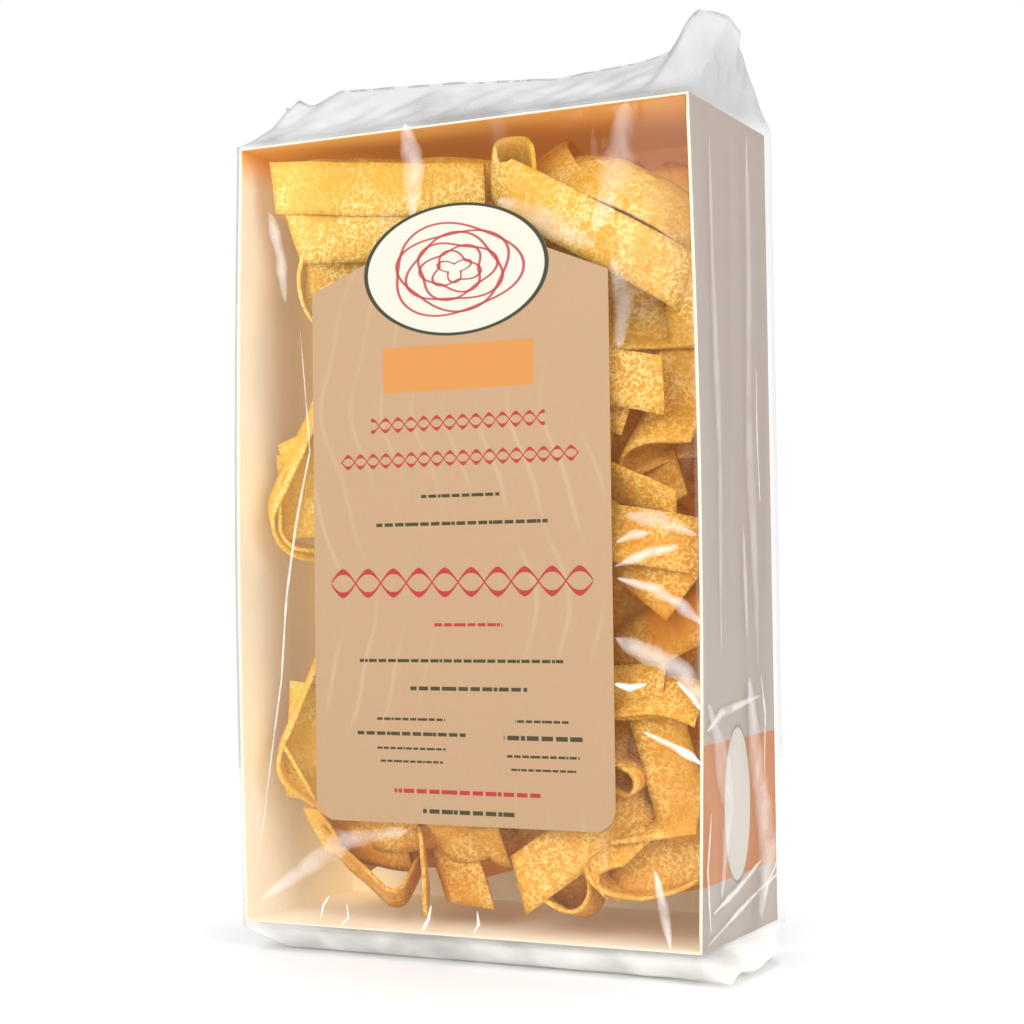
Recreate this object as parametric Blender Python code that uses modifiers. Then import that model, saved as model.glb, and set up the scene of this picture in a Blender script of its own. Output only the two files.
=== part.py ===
"""Dried egg pasta nests standing in an open card tray, wrapped in clear film with a paper label.

Metres, +Z up. The front faces -Y and the origin is the middle of the wrap's flat base.
The driving dimensions are in millimetres. The pasta is laid out from the tray's own corner of
the world: x from the tray's middle, depth behind its front edge, and height above its floor.
"""
from math import asin, ceil, copysign, cos, pi, radians, sin, tan

import bmesh
import bpy
from mathutils import Matrix, Vector

MM = 0.001

TRAY_WIDTH = 156.6
TRAY_DEPTH = 66.4
TRAY_HEIGHT = 250.0
CARD = 1.0
TRAY_BULGE = 2.0
TRAY_LIFT = 9.0
TRAY_ROWS = 6

FILM = 0.5
FILM_CLEARANCE = 0.4
SEAM_SLIT = 0.6
RIDGE_HEIGHT = 19.0
RIDGE_THICKNESS = 3.0
RIDGE_SETBACK = -4.0
RIGHT_EAR = 12.0
LEFT_EAR = 3.0
RIDGE_ROUND = 1.5
RIDGE_RISE = 1.3
RIDGE_EARS = (0.55, 0.6)
FLOOR_EAR = 18.0
FLOOR_EAR_FRONT = 6.5
FLOOR_EAR_START = 0.8
FLOOR_EAR_BACK = (0.3, 0.95)
FLOOR_EAR_CORNER = 0.4
FLOOR_EAR_LOWNESS = 0.3
BASE_WIDTH = 124.0
BASE_DEPTH = 44.0
CORNER_RISE = 5.0
CORNER_SHARPNESS = 4
FRONT_PANELS = 10
SIDE_PANELS = 4
BASE_LEVELS = (0, 0.12, 0.4, 1)
SEAL_LEVELS = (2.25, 2.6, 3)

LABEL = 0.4
LABEL_GAP = 0.3
LABEL_SHIFT = 1.3
LABEL_BOTTOM = 34.0
LABEL_SHOULDER = 200.0
LABEL_NECK = 208.0
LABEL_HALF_WIDTH = 51.3
LABEL_CORNER = 7.0
LABEL_CORNER_PARTS = 4
MEDALLION_HEIGHT = 204.0
MEDALLION_RADII = (32.1, 20.4)
MEDALLION_PARTS = 8

RIBBON_WIDTH = 17
RIBBON_THICKNESS = 1.2
SKEW_REACH = 9.0
STEP_LENGTH = 26.0
STEP_ANGLE = 36.0
FLAT_ANGLE = 2.0
CORE_ROWS = 8
CORE_SEGMENTS = 14
CORE_SHAPE = 0.7
WRAPS = 5
WRAP_STANDOFF = 3
WRAP_DEPTH = 11
WRAP_STAGGER = 2
WRAP_SINK = 4
WRAP_SPREAD = 0.6
WRAP_REACH = 0.75
WRAP_WALK = 220.0
WRAP_LEAN = 22
WRAP_LEAN_STEP = 137.5
LEAST_SLOPE = 0.3
GOLDEN_ANGLE = 137.5

PASTA = (0.80, 0.50, 0.14)
KRAFT = (0.72, 0.52, 0.33)
LABEL_PAPER = (0.73, 0.48, 0.28)
CLEAR_FILM = (0.88, 0.88, 0.86)


def ribbon(at, angle, dive=0, roll=0, ahead=(), behind=(), width=RIBBON_WIDTH, skew=(0, 0)):
    """One ribbon of pasta, as a walk both ways from the point `at`.

    angle is its heading in the plane of the front, dive the heading's turn into the tray, and
    roll the ribbon's turn about its heading. Each bend is a length, a turn towards the back of
    the tray and a twist. skew slants the two cut ends.
    """
    return dict(at=at, angle=angle, dive=dive, roll=roll, ahead=ahead, behind=behind,
                width=width, skew=skew)


# Each nest has the room it fills, as (x, depth, height) from one corner to the other.
ROOMS = {
    "top_left": ((-76.4, 1.6, 171), (3.4, 64.4, 248.2)),
    "top_right": ((4.6, 1.6, 180.6), (76.4, 64.4, 248.2)),
    "middle_left": ((-76.4, 1.6, 89), (-0.8, 64.4, 169.4)),
    "middle_right": ((0.8, 1.6, 86), (76.4, 64.4, 179.2)),
    "bottom_left": ((-76.4, 1.6, 2), (7.4, 64.4, 87.4)),
    "bottom_right": ((8.8, 1.6, 2), (76.4, 64.4, 84.6)),
}

CORES = {
    "top_left": ((-28, 39, 206), (31, 23, 28)),
    "top_right": ((41, 39, 211), (30, 23, 27)),
    "middle_left": ((-30, 39, 131), (30, 22, 32)),
    "middle_right": ((38, 40, 132), (33, 22, 40)),
    "bottom_left": ((-26, 40, 47), (32, 22, 34)),
    "bottom_right": ((42, 40, 45), (29, 22, 34)),
}

NESTS = {
    "top_left": [
        ribbon((-31, 6, 233), -6, dive=3,
               ahead=((37, 0, 0), (14, 20, 0), (20, 150, 0), (30, 0, 0)),
               behind=((37, 0, 0),), skew=(-14, 0)),
        ribbon((-40, 6, 219), -4, dive=4,
               ahead=((21, 0, 0), (14, 20, 0), (20, 150, 0), (30, 0, 0)),
               behind=((21, 0, 0),), skew=(-24, 0)),
        ribbon((-47, 13, 238), -4, dive=3, roll=-15,
               ahead=((19, 15, 0), (12, 80, 0), (12, 0, 0)),
               behind=((19, 15, 0), (12, 80, 0), (12, 0, 0))),
        ribbon((-7, 13, 234), -7, dive=3, roll=-15,
               ahead=((17, 15, 0), (12, 80, 0), (12, 0, 0)),
               behind=((17, 15, 0), (12, 80, 0), (12, 0, 0))),
        ribbon((-62, 11, 203), -82, dive=5, roll=66,
               ahead=((11, 28, 0), (12, 30, 0)),
               behind=((11, 28, 0), (10, 20, 0), (12, 40, 0))),
        ribbon((-40, 10, 208), 1, dive=6, roll=10,
               ahead=((14, 0, 0), (12, 10, 0)),
               behind=((14, 0, 0), (4, 0, 0))),
    ],
    "top_right": [
        ribbon((43, 4, 214), -30, dive=1, roll=-4,
               ahead=((25, 0, -5), (7, 20, -6), (24, 145, 0), (22, 5, 0)),
               behind=((25, 0, 5), (9, 10, 30), (22, 215, 30), (9, 0, 0))),
        ribbon((50, 11, 228), -22, dive=-5, roll=-38,
               ahead=((25, 30, 0), (16, 30, 10), (14, 50, 0)),
               behind=((25, 30, 0), (8, 30, -5))),
        ribbon((38, 14, 229), -27, dive=-7, roll=-36,
               ahead=((12, 17, 0), (10, 30, 0)),
               behind=((12, 17, 0), (5, 30, 0)), width=10),
        ribbon((48, 14, 221), -29, dive=-2, roll=-60,
               ahead=((14, 0, 0), (8, 40, 0), (12, 90, 0)),
               behind=((14, 0, 0), (6, 30, 0), (14, 120, 0))),
        ribbon((66, 13, 181), -25, dive=-5, roll=-20,
               ahead=((11, 0, 0),),
               behind=((11, 0, 0), (16, 20, 0))),
        ribbon((63, 9, 177), -11, dive=-4, roll=-50,
               ahead=((15, 0, 0),),
               behind=((15, 0, 0), (16, 20, 0))),
        ribbon((75, 8, 177), -88, roll=15,
               ahead=((14, 0, 0),),
               behind=((14, 0, 0), (10, 20, 0))),
    ],
    "middle_right": [
        ribbon((58, 3, 167), -11,
               ahead=((10, 0, 0),),
               behind=((10, 0, 0), (18, 30, 0), (20, 100, 0), (18, 0, 0)), skew=(0, -12)),
        ribbon((50, 6, 161), -19,
               ahead=((6, 0, 0),),
               behind=((6, 0, 0), (18, 20, 0))),
        ribbon((69, 12, 169), 83, roll=10,
               ahead=((8, 0, 0),),
               behind=((8, 0, 0), (10, 0, 0))),
        ribbon((72, 8, 154), -1, roll=-46,
               ahead=((6, 0, 0), (10, 20, 0)),
               behind=((6, 0, 0), (7, 20, 0), (22, 95, 0), (12, 10, 0))),
        ribbon((62, 13, 137), 26, dive=-7, roll=-20,
               ahead=((8, 0, 0),),
               behind=((8, 0, 0), (16, 10, 0))),
        ribbon((59, 8, 132), -23, dive=-8, roll=38,
               ahead=((12, 0, 0),),
               behind=((12, 0, 0), (16, 10, 0))),
        ribbon((58, 4, 121), -8, dive=-3, roll=-14,
               ahead=((10, 10, 0), (14, 40, 0), (12, 60, 0)),
               behind=((10, 10, 0), (16, 20, 0), (18, 90, 0))),
        ribbon((65, 6, 108), -38, dive=-6,
               ahead=((9, 0, 0),),
               behind=((9, 0, 0), (22, 20, 0))),
        ribbon((67, 12, 94), 23, dive=-11, roll=-10,
               ahead=((11, 0, 0),),
               behind=((11, 0, 0), (18, 20, 0))),
        ribbon((57, 20, 94), -28,
               ahead=((16, 0, 0),),
               behind=((16, 0, 0), (18, 20, 0))),
    ],
    "bottom_right": [
        ribbon((56, 7, 75), 3, roll=-20,
               ahead=((9, 0, 0),),
               behind=((9, 0, 0), (18, 20, 0))),
        ribbon((63, 5, 73), -3, roll=-42,
               ahead=((14, 15, 0), (8, 20, 0)),
               behind=((14, 15, 0), (14, 60, 0))),
        ribbon((66, 8, 54), -74,
               ahead=((15, 0, 0), (8, 10, 0)),
               behind=((15, 0, 0), (10, 60, 0))),
        ribbon((49, 10, 56), -23, roll=-80,
               ahead=((7, 0, 0), (12, 175, 0), (20, 0, 0)),
               behind=((7, 0, 0), (16, 0, 0))),
        ribbon((66, 5, 36), 19, dive=-5, roll=-55,
               ahead=((11, 0, 25), (6, 10, 0)),
               behind=((11, 0, -25), (6, 0, -15))),
        ribbon((50, 4, 27), -135, dive=-16, roll=30,
               ahead=((6, 0, 0), (9, 110, 0)),
               behind=((6, 0, 0), (6, 0, 0)), width=11),
        ribbon((63, 9, 25), 14, roll=-10,
               ahead=((9, 0, 0), (10, 10, 0)),
               behind=((9, 0, 0), (10, 30, 0))),
        ribbon((56, 7, 16), -2, roll=-84,
               ahead=((8, -12, 0), (16, -30, 0)),
               behind=((8, -12, 0), (10, -60, 0))),
        ribbon((47, 16, 60), -8, roll=-10,
               ahead=((7, 0, 0),),
               behind=((7, 0, 0), (16, 0, 0))),
        ribbon((50, 10, 38), 6, roll=-20,
               ahead=((7, 0, 0),),
               behind=((7, 0, 0), (16, 0, 0))),
        ribbon((29, 4, 24), 36, dive=4,
               ahead=((13, 0, 0), (22, 30, 0)),
               behind=((13, 0, 0),), skew=(20, 0)),
        ribbon((27, 10, 10), -24, roll=74,
               ahead=((5, 0, 0), (7, 70, 0), (9, 75, 0), (10, 40, 0)),
               behind=((5, 0, 0), (6, 0, 0)), width=15),
        ribbon((29, 14, 14), 5, roll=38,
               ahead=((8, 38, 0), (8, 30, 0)),
               behind=((8, 38, 0), (8, 30, 0)), width=15),
    ],
    "bottom_left": [
        ribbon((-62, 9, 71), -115, dive=-3, roll=58,
               ahead=((17, 0, 0), (14, 75, 0), (18, 5, 0)),
               behind=((17, 0, 0), (10, 0, 0))),
        ribbon((-61, 12, 57), -95,
               ahead=((9, 0, 0), (10, 20, 0)),
               behind=((9, 0, 0), (10, 0, 0))),
        ribbon((-60, 8, 43), -55, roll=60,
               ahead=((7, 0, 0), (16, 0, 0)),
               behind=((7, 0, 0), (6, 0, 0))),
        ribbon((-51, 12, 27), -9, roll=30,
               ahead=((8, 0, 0), (18, 10, 0)),
               behind=((8, 0, 0),), skew=(-20, 0)),
        ribbon((-30, 7, 30), 0, roll=34,
               ahead=((15, 31, 0), (10, 50, 0)),
               behind=((15, 31, 0), (10, 30, 0))),
        ribbon((-4, 7, 28), 10, roll=36,
               ahead=((8, 33, 0), (10, 50, 0)),
               behind=((8, 33, 0), (10, 50, 0))),
        ribbon((13, 8, 28), 15, roll=36,
               ahead=((10, 33, 0), (10, 50, 0)),
               behind=((10, 33, 0), (10, 50, 0))),
        ribbon((-40, 12, 15), -36, dive=-3, roll=50,
               ahead=((9, 0, 0), (7, 110, 0), (10, 0, 0)),
               behind=((9, 0, 0), (12, 0, 0)), width=13),
        ribbon((-19, 12, 13), -89, dive=4, roll=62,
               ahead=((8, 0, 0),),
               behind=((8, 0, 0), (12, 0, 0))),
        ribbon((-6, 14, 14), -71, roll=10,
               ahead=((7, 0, 0),),
               behind=((7, 0, 0), (12, 0, 0)), skew=(0, 22)),
    ],
    "middle_left": [
        ribbon((-65, 8, 146), -120, roll=48,
               ahead=((12, 0, 0), (24, 105, 0), (16, 10, 0)),
               behind=((12, 0, 0), (14, 0, 0))),
        ribbon((-72, 12, 133), -92, dive=6, roll=60,
               ahead=((5, 0, 0), (12, 80, 0), (18, 5, 0)),
               behind=((5, 0, 0), (10, 50, 0), (8, 0, 0))),
        ribbon((-65, 14, 131), -87, roll=10,
               ahead=((8, 0, 0),),
               behind=((8, 0, 0), (12, 0, 0))),
        ribbon((-60, 11, 148), 20, dive=7, roll=10,
               ahead=((8, 0, 0), (18, 0, 0)),
               behind=((8, 0, 0),)),
    ],

}


def clear_scene():
    for thing in list(bpy.data.objects):
        bpy.data.objects.remove(thing)


def material(name, colour, roughness, alpha=1.0):
    made = bpy.data.materials.new(name)
    made.use_nodes = True
    shader = made.node_tree.nodes["Principled BSDF"]
    shader.inputs["Base Color"].default_value = (*colour, 1)
    shader.inputs["Roughness"].default_value = roughness
    shader.inputs["Alpha"].default_value = alpha
    return made


def add_object(name, bm, collection, finish):
    mesh = bpy.data.meshes.new(name)
    bm.to_mesh(mesh)
    bm.free()
    mesh.materials.append(finish)
    made = bpy.data.objects.new(name, mesh)
    collection.objects.link(made)
    return made


def applied(thing):
    """The object's mesh with its modifiers worked in."""
    graph = bpy.context.evaluated_depsgraph_get()
    return bpy.data.meshes.new_from_object(thing.evaluated_get(graph))


def in_tray(x, depth, height):
    """A place in the tray, as a world place in millimetres."""
    return Vector((x, depth - TRAY_DEPTH / 2, height + TRAY_LIFT))


def bulge(y, z):
    """How far the tray's side stands out there: most at the middle of its front edge."""
    level = min(max((z - TRAY_LIFT) / TRAY_HEIGHT, 0), 1)
    frontness = min(max(0.5 - y / TRAY_DEPTH, 0), 1)
    return TRAY_BULGE * sin(pi * level) * frontness


def wraps(name):
    """The nest's inner turns: ribbons bent back over the core, each at its own slant."""
    (middle, _, level), (half_width, _, half_height) = CORES[name]
    half_width, half_height = half_width + WRAP_STANDOFF, half_height + WRAP_STANDOFF
    for number in range(WRAPS):
        slope = number * GOLDEN_ANGLE % 180 - 90
        sideways = half_width / max(abs(cos(radians(slope))), LEAST_SLOPE)
        upwards = half_height / max(abs(sin(radians(slope))), LEAST_SLOPE)
        away = WRAP_SPREAD * (number / WRAPS) ** 0.5
        reach = min(sideways, upwards) * (WRAP_REACH - away / 2)
        place = radians(number * WRAP_WALK)
        start = (middle + half_width * away * cos(place),
                 WRAP_DEPTH + WRAP_STAGGER * (number % 3) + WRAP_SINK * away,
                 level + half_height * away * sin(place))
        lean = WRAP_LEAN * sin(radians(number * WRAP_LEAN_STEP))
        yield ribbon(start, slope, roll=lean,
                     ahead=((reach, 35, lean / 3), (22, 80, 8), (14, 30, 0)),
                     behind=((reach, 30, -lean / 3), (24, 85, -6), (14, 25, 0)))


def walk(point, heading, across, bends, side):
    """The stations of a ribbon that leaves the point with this heading."""
    point, heading, across = point.copy(), heading.copy(), across.copy()
    passed = []
    for length, turn, twist in bends:
        steps = max(1, ceil(length / STEP_LENGTH), ceil(abs(turn) / STEP_ANGLE),
                    ceil(abs(twist) / STEP_ANGLE))
        half_turn = radians(side * turn / steps / 2)
        half_twist = radians(side * twist / steps / 2)
        for _ in range(steps):
            for half in range(2):
                heading.rotate(Matrix.Rotation(half_turn, 3, across))
                across.rotate(Matrix.Rotation(half_twist, 3, heading))
                if half == 0:
                    point = point + heading * (length / steps)
            across = (across - heading * across.dot(heading)).normalized()
            passed.append((point.copy(), across.copy(), heading * side))
    return passed


def stations(strip):
    """Each station is a point, the ribbon's width there and its heading."""
    angle, dive, roll = radians(strip["angle"]), radians(strip["dive"]), radians(strip["roll"])
    heading = Vector((cos(angle) * cos(dive), sin(dive), sin(angle) * cos(dive)))
    across = Vector((-sin(angle), 0, cos(angle)))
    across.rotate(Matrix.Rotation(roll, 3, heading))
    start = in_tray(*strip["at"])
    ahead = walk(start, heading, across, strip["ahead"], 1)
    behind = walk(start, -heading, across, strip["behind"], -1)
    return list(reversed(behind)) + [(start, across, heading)] + ahead


def slanted(path, skew):
    """The widths along the path, leaning near its ends as the cuts do."""
    run = [0.0]
    for (one, _, _), (other, _, _) in zip(path, path[1:]):
        run.append(run[-1] + (other - one).length)
    widths = []
    for (_, across, heading), gone in zip(path, run):
        for lean, reach in ((skew[0], gone), (skew[1], run[-1] - gone)):
            fade = max(0, 1 - reach / SKEW_REACH)
            across = across + heading * tan(radians(lean)) * fade
        widths.append(across)
    return widths


def ribbon_surface(strip):
    """A ribbon of no thickness: its first edge, extruded from station to station."""
    path = stations(strip)
    widths = slanted(path, strip["skew"])
    bm = bmesh.new()
    places = [[(point + across * strip["width"] * side / 2) * MM for side in (-1, 1)]
              for (point, _, _), across in zip(path, widths)]
    edge = bm.edges.new([bm.verts.new(place) for place in places[0]])
    for ends in places[1:]:
        grown = bmesh.ops.extrude_edge_only(bm, edges=[edge])["geom"]
        edge = next(item for item in grown if isinstance(item, bmesh.types.BMEdge))
        for corner, place in zip(edge.verts, ends):
            corner.co = place
    return bm


def cut_to_room(bm, room):
    """Trims the surface at the six sides of the nest's room."""
    for sign, corner in zip((1, -1), room):
        for axis in range(3):
            outwards = Vector((0, 0, 0))
            outwards[axis] = -sign
            everything = list(bm.verts) + list(bm.edges) + list(bm.faces)
            bmesh.ops.bisect_plane(bm, geom=everything, plane_co=in_tray(*corner) * MM,
                                   plane_no=outwards, clear_outer=True)


def core_solid(centre, radii):
    """The packed middle of a nest: a round body squared off towards a box."""
    bm = bmesh.new()
    bmesh.ops.create_uvsphere(bm, u_segments=CORE_SEGMENTS, v_segments=CORE_ROWS, radius=1)
    for corner in bm.verts:
        squared = Vector([copysign(abs(c) ** CORE_SHAPE, c) for c in corner.co])
        place = in_tray(*[c + r * s for c, r, s in zip(centre, radii, squared)])
        corner.co = place * MM
    return bm


def largest_body(mesh):
    """Keeps the biggest connected body, so that pockets fill and loose scraps go."""
    bm = bmesh.new()
    bm.from_mesh(mesh)
    bmesh.ops.remove_doubles(bm, verts=bm.verts, dist=0.00002)
    bmesh.ops.dissolve_degenerate(bm, edges=bm.edges, dist=0.00001)
    waiting, bodies = set(bm.verts), []
    while waiting:
        body, edge = set(), [waiting.pop()]
        while edge:
            corner = edge.pop()
            body.add(corner)
            for link in corner.link_edges:
                other = link.other_vert(corner)
                if other in waiting:
                    waiting.discard(other)
                    edge.append(other)
        bodies.append(body)
    biggest = max(bodies, key=len)
    bmesh.ops.delete(bm, geom=[v for v in bm.verts if v not in biggest], context="VERTS")
    bmesh.ops.dissolve_limit(bm, angle_limit=radians(FLAT_ANGLE), verts=bm.verts, edges=bm.edges)
    bmesh.ops.triangulate(bm, faces=bm.faces)
    bm.to_mesh(mesh)
    bm.free()


def nest(name, strips, collection, finish):
    """A core with the ribbons that show fused on, cut to the nest's room."""
    room = ROOMS[name]
    pieces = bpy.data.collections.new(name + "_pieces")
    bpy.context.scene.collection.children.link(pieces)
    for number, strip in enumerate(strips + list(wraps(name))):
        surface = ribbon_surface(strip)
        cut_to_room(surface, room)
        piece = add_object(f"{name}_ribbon_{number}", surface, pieces, finish)
        wall = piece.modifiers.new("thickness", "SOLIDIFY")
        wall.thickness = RIBBON_THICKNESS * MM
        wall.offset = 0
    made = add_object("nest_" + name, core_solid(*CORES[name]), collection, finish)
    union = made.modifiers.new("ribbons", "BOOLEAN")
    union.operation = "UNION"
    union.operand_type = "COLLECTION"
    union.collection = pieces
    union.solver = "MANIFOLD"
    made.data = applied(made)
    made.modifiers.clear()
    largest_body(made.data)
    for piece in list(pieces.objects):
        bpy.data.objects.remove(piece)
    bpy.data.collections.remove(pieces)
    return made


def tray(collection, finish):
    """An upright open box of card whose side walls bow out towards the front."""
    bm = bmesh.new()
    bmesh.ops.create_cube(bm, size=1)
    size = Matrix.Diagonal((TRAY_WIDTH * MM, TRAY_DEPTH * MM, TRAY_HEIGHT * MM, 1))
    lift = Matrix.Translation((0, 0, (TRAY_LIFT + TRAY_HEIGHT / 2) * MM))
    bmesh.ops.transform(bm, matrix=lift @ size, verts=bm.verts)
    front = [face for face in bm.faces if face.normal.y < -0.5]
    bmesh.ops.delete(bm, geom=front, context="FACES_ONLY")
    upright = [e for e in bm.edges if abs(e.verts[0].co.z - e.verts[1].co.z) > MM]
    bmesh.ops.subdivide_edges(bm, edges=upright, cuts=TRAY_ROWS - 1, use_grid_fill=True)
    for corner in bm.verts:
        out = bulge(corner.co.y / MM, corner.co.z / MM)
        corner.co.x += copysign(out * MM, corner.co.x)
    made = add_object("tray", bm, collection, finish)
    wall = made.modifiers.new("card", "SOLIDIFY")
    wall.thickness = CARD * MM
    wall.offset = -1
    return made


def smooth_rise(value, start, end):
    """From 0 to 1 as the value goes from start to end."""
    step = min(max((value - start) / (end - start), 0), 1)
    return step * step * (3 - 2 * step)


def film_outline():
    """Places round the wrap from the back seam, as parts of its half width and half depth."""
    slit = SEAM_SLIT / TRAY_WIDTH
    half = FRONT_PANELS // 2
    back = [(slit + (1 - slit) * n / half, 1) for n in range(half)]
    right = [(1, 1 - 2 * n / SIDE_PANELS) for n in range(SIDE_PANELS)]
    front = [(1 - 2 * n / FRONT_PANELS, -1) for n in range(FRONT_PANELS)]
    left = [(-1, -1 + 2 * n / SIDE_PANELS) for n in range(SIDE_PANELS)]
    rest = [(-1 + (1 - slit) * n / half, 1) for n in range(half + 1)]
    return back + right + front + left + rest


def film_ring(level, outline):
    """One ring of the wrap. level runs from 0 at the base, 1 at the tray's floor, 2 at the
    tray's top, to 3 at the end seal."""
    out = FILM_CLEARANCE + FILM
    half_width, half_depth = TRAY_WIDTH / 2 + out, TRAY_DEPTH / 2 + out
    places = []
    for across, along in outline:
        x, y = across * half_width, along * half_depth
        if level < 1:
            tuck = 1 - level ** 0.5
            x -= across * tuck * (half_width - BASE_WIDTH / 2)
            y -= along * tuck * (half_depth - BASE_DEPTH / 2)
            cornering = max(abs(across), abs(along)) * abs(across) ** CORNER_SHARPNESS
            z = level * (TRAY_LIFT - out)
            z += CORNER_RISE * cornering * level * (1 - level)
            flare = level ** FLOOR_EAR_LOWNESS
            ear = smooth_rise(across, FLOOR_EAR_START, 1) * 4 * flare * (1 - flare)
            x += FLOOR_EAR * ear * (1 - smooth_rise(along, *FLOOR_EAR_BACK))
            y -= FLOOR_EAR_FRONT * ear * smooth_rise(-along, FLOOR_EAR_CORNER, 1)
        elif level <= 2:
            z = TRAY_LIFT - out + (level - 1) * (TRAY_HEIGHT + 2 * out)
            x += copysign(bulge(y, z), across) * abs(across) ** 3
        else:
            close = level - 2
            z = TRAY_LIFT + TRAY_HEIGHT + out
            rise = RIDGE_HEIGHT + RIGHT_EAR * smooth_rise(across, RIDGE_EARS[0], 1)
            rise += LEFT_EAR * smooth_rise(-across, RIDGE_EARS[1], 1)
            z += rise * close ** RIDGE_RISE
            thin = 1 - close * (1 - RIDGE_THICKNESS / 2 / half_depth)
            x += copysign(RIDGE_ROUND * close, across) * (1 - along ** 2) * (abs(across) == 1)
            y = y * thin + RIDGE_SETBACK * close
        places.append(Vector((x, y, z)) * MM)
    return places


def film(collection, finish):
    """A pillow wrap: a flat base, an end seal folded up as a ridge, and a slit back seam."""
    outline = film_outline()
    levels = list(BASE_LEVELS) + [1 + n / TRAY_ROWS for n in range(1, TRAY_ROWS + 1)]
    levels += SEAL_LEVELS
    bm = bmesh.new()
    rows = []
    for level in levels:
        rows.append([bm.verts.new(place) for place in film_ring(level, outline)])
    base = bm.faces.new(reversed(rows[0]))
    for low, high in zip(rows, rows[1:]):
        for a, b, c, d in zip(low, low[1:], high[1:], high):
            bm.faces.new((a, b, c, d))
    top, half = rows[-1], FRONT_PANELS // 2
    middle, last = half + SIDE_PANELS + half, len(outline) - 1
    for n in range(half):
        bm.faces.new((top[n], top[n + 1], top[middle - n - 1], top[middle - n]))
        bm.faces.new((top[middle + n], top[middle + n + 1], top[last - n - 1], top[last - n]))
    for start in (half, middle + half):
        bm.faces.new(top[start:start + SIDE_PANELS + 1])
    bmesh.ops.recalc_face_normals(bm, faces=bm.faces)
    bmesh.ops.triangulate(bm, faces=[base])
    made = add_object("film", bm, collection, finish)
    wall = made.modifiers.new("film", "SOLIDIFY")
    wall.thickness = FILM * MM
    wall.offset = -1
    return made


def label_outline():
    """Half of the label's edge on its right side, from the bottom up."""
    corner = [(LABEL_HALF_WIDTH - LABEL_CORNER + LABEL_CORNER * sin(a),
               LABEL_BOTTOM + LABEL_CORNER - LABEL_CORNER * cos(a))
              for a in [pi / 2 * n / LABEL_CORNER_PARTS for n in range(LABEL_CORNER_PARTS + 1)]]
    wide, tall = MEDALLION_RADII
    begin = asin((LABEL_NECK - MEDALLION_HEIGHT) / tall)
    step = (pi / 2 - begin) / MEDALLION_PARTS
    arc = [(wide * cos(a), MEDALLION_HEIGHT + tall * sin(a))
           for a in [begin + step * n for n in range(MEDALLION_PARTS)]]
    return corner + [(LABEL_HALF_WIDTH, LABEL_SHOULDER)] + arc + [(0, MEDALLION_HEIGHT + tall)]


def label(collection, finish):
    """A flat paper panel with sloped shoulders under a round medallion."""
    front = -(TRAY_DEPTH / 2 + FILM_CLEARANCE + FILM + LABEL_GAP)
    right = label_outline()
    left = [(-x, z) for x, z in reversed(right[:-1])]
    curve = bpy.data.curves.new("label", "CURVE")
    curve.dimensions = "2D"
    curve.fill_mode = "BOTH"
    curve.extrude = LABEL / 2 * MM
    spline = curve.splines.new("POLY")
    spline.points.add(len(right) + len(left) - 1)
    for point, (x, z) in zip(spline.points, right + left):
        point.co = (x * MM, (z + TRAY_LIFT) * MM, 0, 1)
    spline.use_cyclic_u = True
    made = bpy.data.objects.new("label", curve)
    made.location = (LABEL_SHIFT * MM, (front - LABEL / 2) * MM, 0)
    made.rotation_euler = (pi / 2, 0, 0)
    curve.materials.append(finish)
    collection.objects.link(made)
    return made


def build():
    clear_scene()
    pack = bpy.data.collections.new("pasta_nest_pack")
    bpy.context.scene.collection.children.link(pack)
    pasta = material("egg pasta", PASTA, 0.55)
    tray(pack, material("kraft card", KRAFT, 0.8))
    for name, strips in NESTS.items():
        nest(name, strips, pack, pasta)
    film(pack, material("clear film", CLEAR_FILM, 0.12, 0.25))
    label(pack, material("label paper", LABEL_PAPER, 0.7))


build()
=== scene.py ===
"""The looks of the wrapped tray of pasta nests: fine ribbons, creased film, printed card and paper.

Metres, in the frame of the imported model. Sizes in the tables are millimetres. The pasta is laid
out as x from the tray's middle, depth behind its front edge, and height above its floor.
"""
from math import asin, ceil, copysign, cos, pi, radians, sin, tan

import bmesh
import bpy
from mathutils import Matrix, Vector, noise


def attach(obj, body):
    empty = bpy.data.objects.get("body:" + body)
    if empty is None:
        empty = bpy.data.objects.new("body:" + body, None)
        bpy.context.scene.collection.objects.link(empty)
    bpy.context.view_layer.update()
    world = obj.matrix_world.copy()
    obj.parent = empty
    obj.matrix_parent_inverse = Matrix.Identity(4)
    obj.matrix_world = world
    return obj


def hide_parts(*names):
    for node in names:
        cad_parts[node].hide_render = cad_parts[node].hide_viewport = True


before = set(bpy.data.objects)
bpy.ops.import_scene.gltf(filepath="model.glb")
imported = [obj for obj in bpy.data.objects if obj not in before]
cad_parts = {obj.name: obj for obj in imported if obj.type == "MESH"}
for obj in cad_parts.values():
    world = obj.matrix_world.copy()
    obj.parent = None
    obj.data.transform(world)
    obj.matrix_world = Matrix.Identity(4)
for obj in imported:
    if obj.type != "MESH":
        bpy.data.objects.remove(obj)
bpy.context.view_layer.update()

MM = 0.001
BODY = "root"

TRAY_WIDTH = 156.6
TRAY_DEPTH = 66.4
TRAY_HEIGHT = 250.0
TRAY_LIFT = 9.0
TRAY_BULGE = 2.0
CARD = 1.0

RIBBON_WIDTH = 17
RIBBON_THICKNESS = 1.15
SKEW_REACH = 9.0
STEP_LENGTH = 2.5
STEP_ANGLE = 8.0
ACROSS_STEPS = 6

# How far a ribbon's surface wanders, in millimetres, and over what length.
EDGE_WAVE = 0.35
EDGE_WAVE_LENGTH = 9
SURFACE_WAVE = 0.5
SURFACE_WAVE_LENGTH = 26
WIDTH_WAVE = 0.5
WIDTH_WAVE_LENGTH = 14
CUPPING = 0.5

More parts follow.
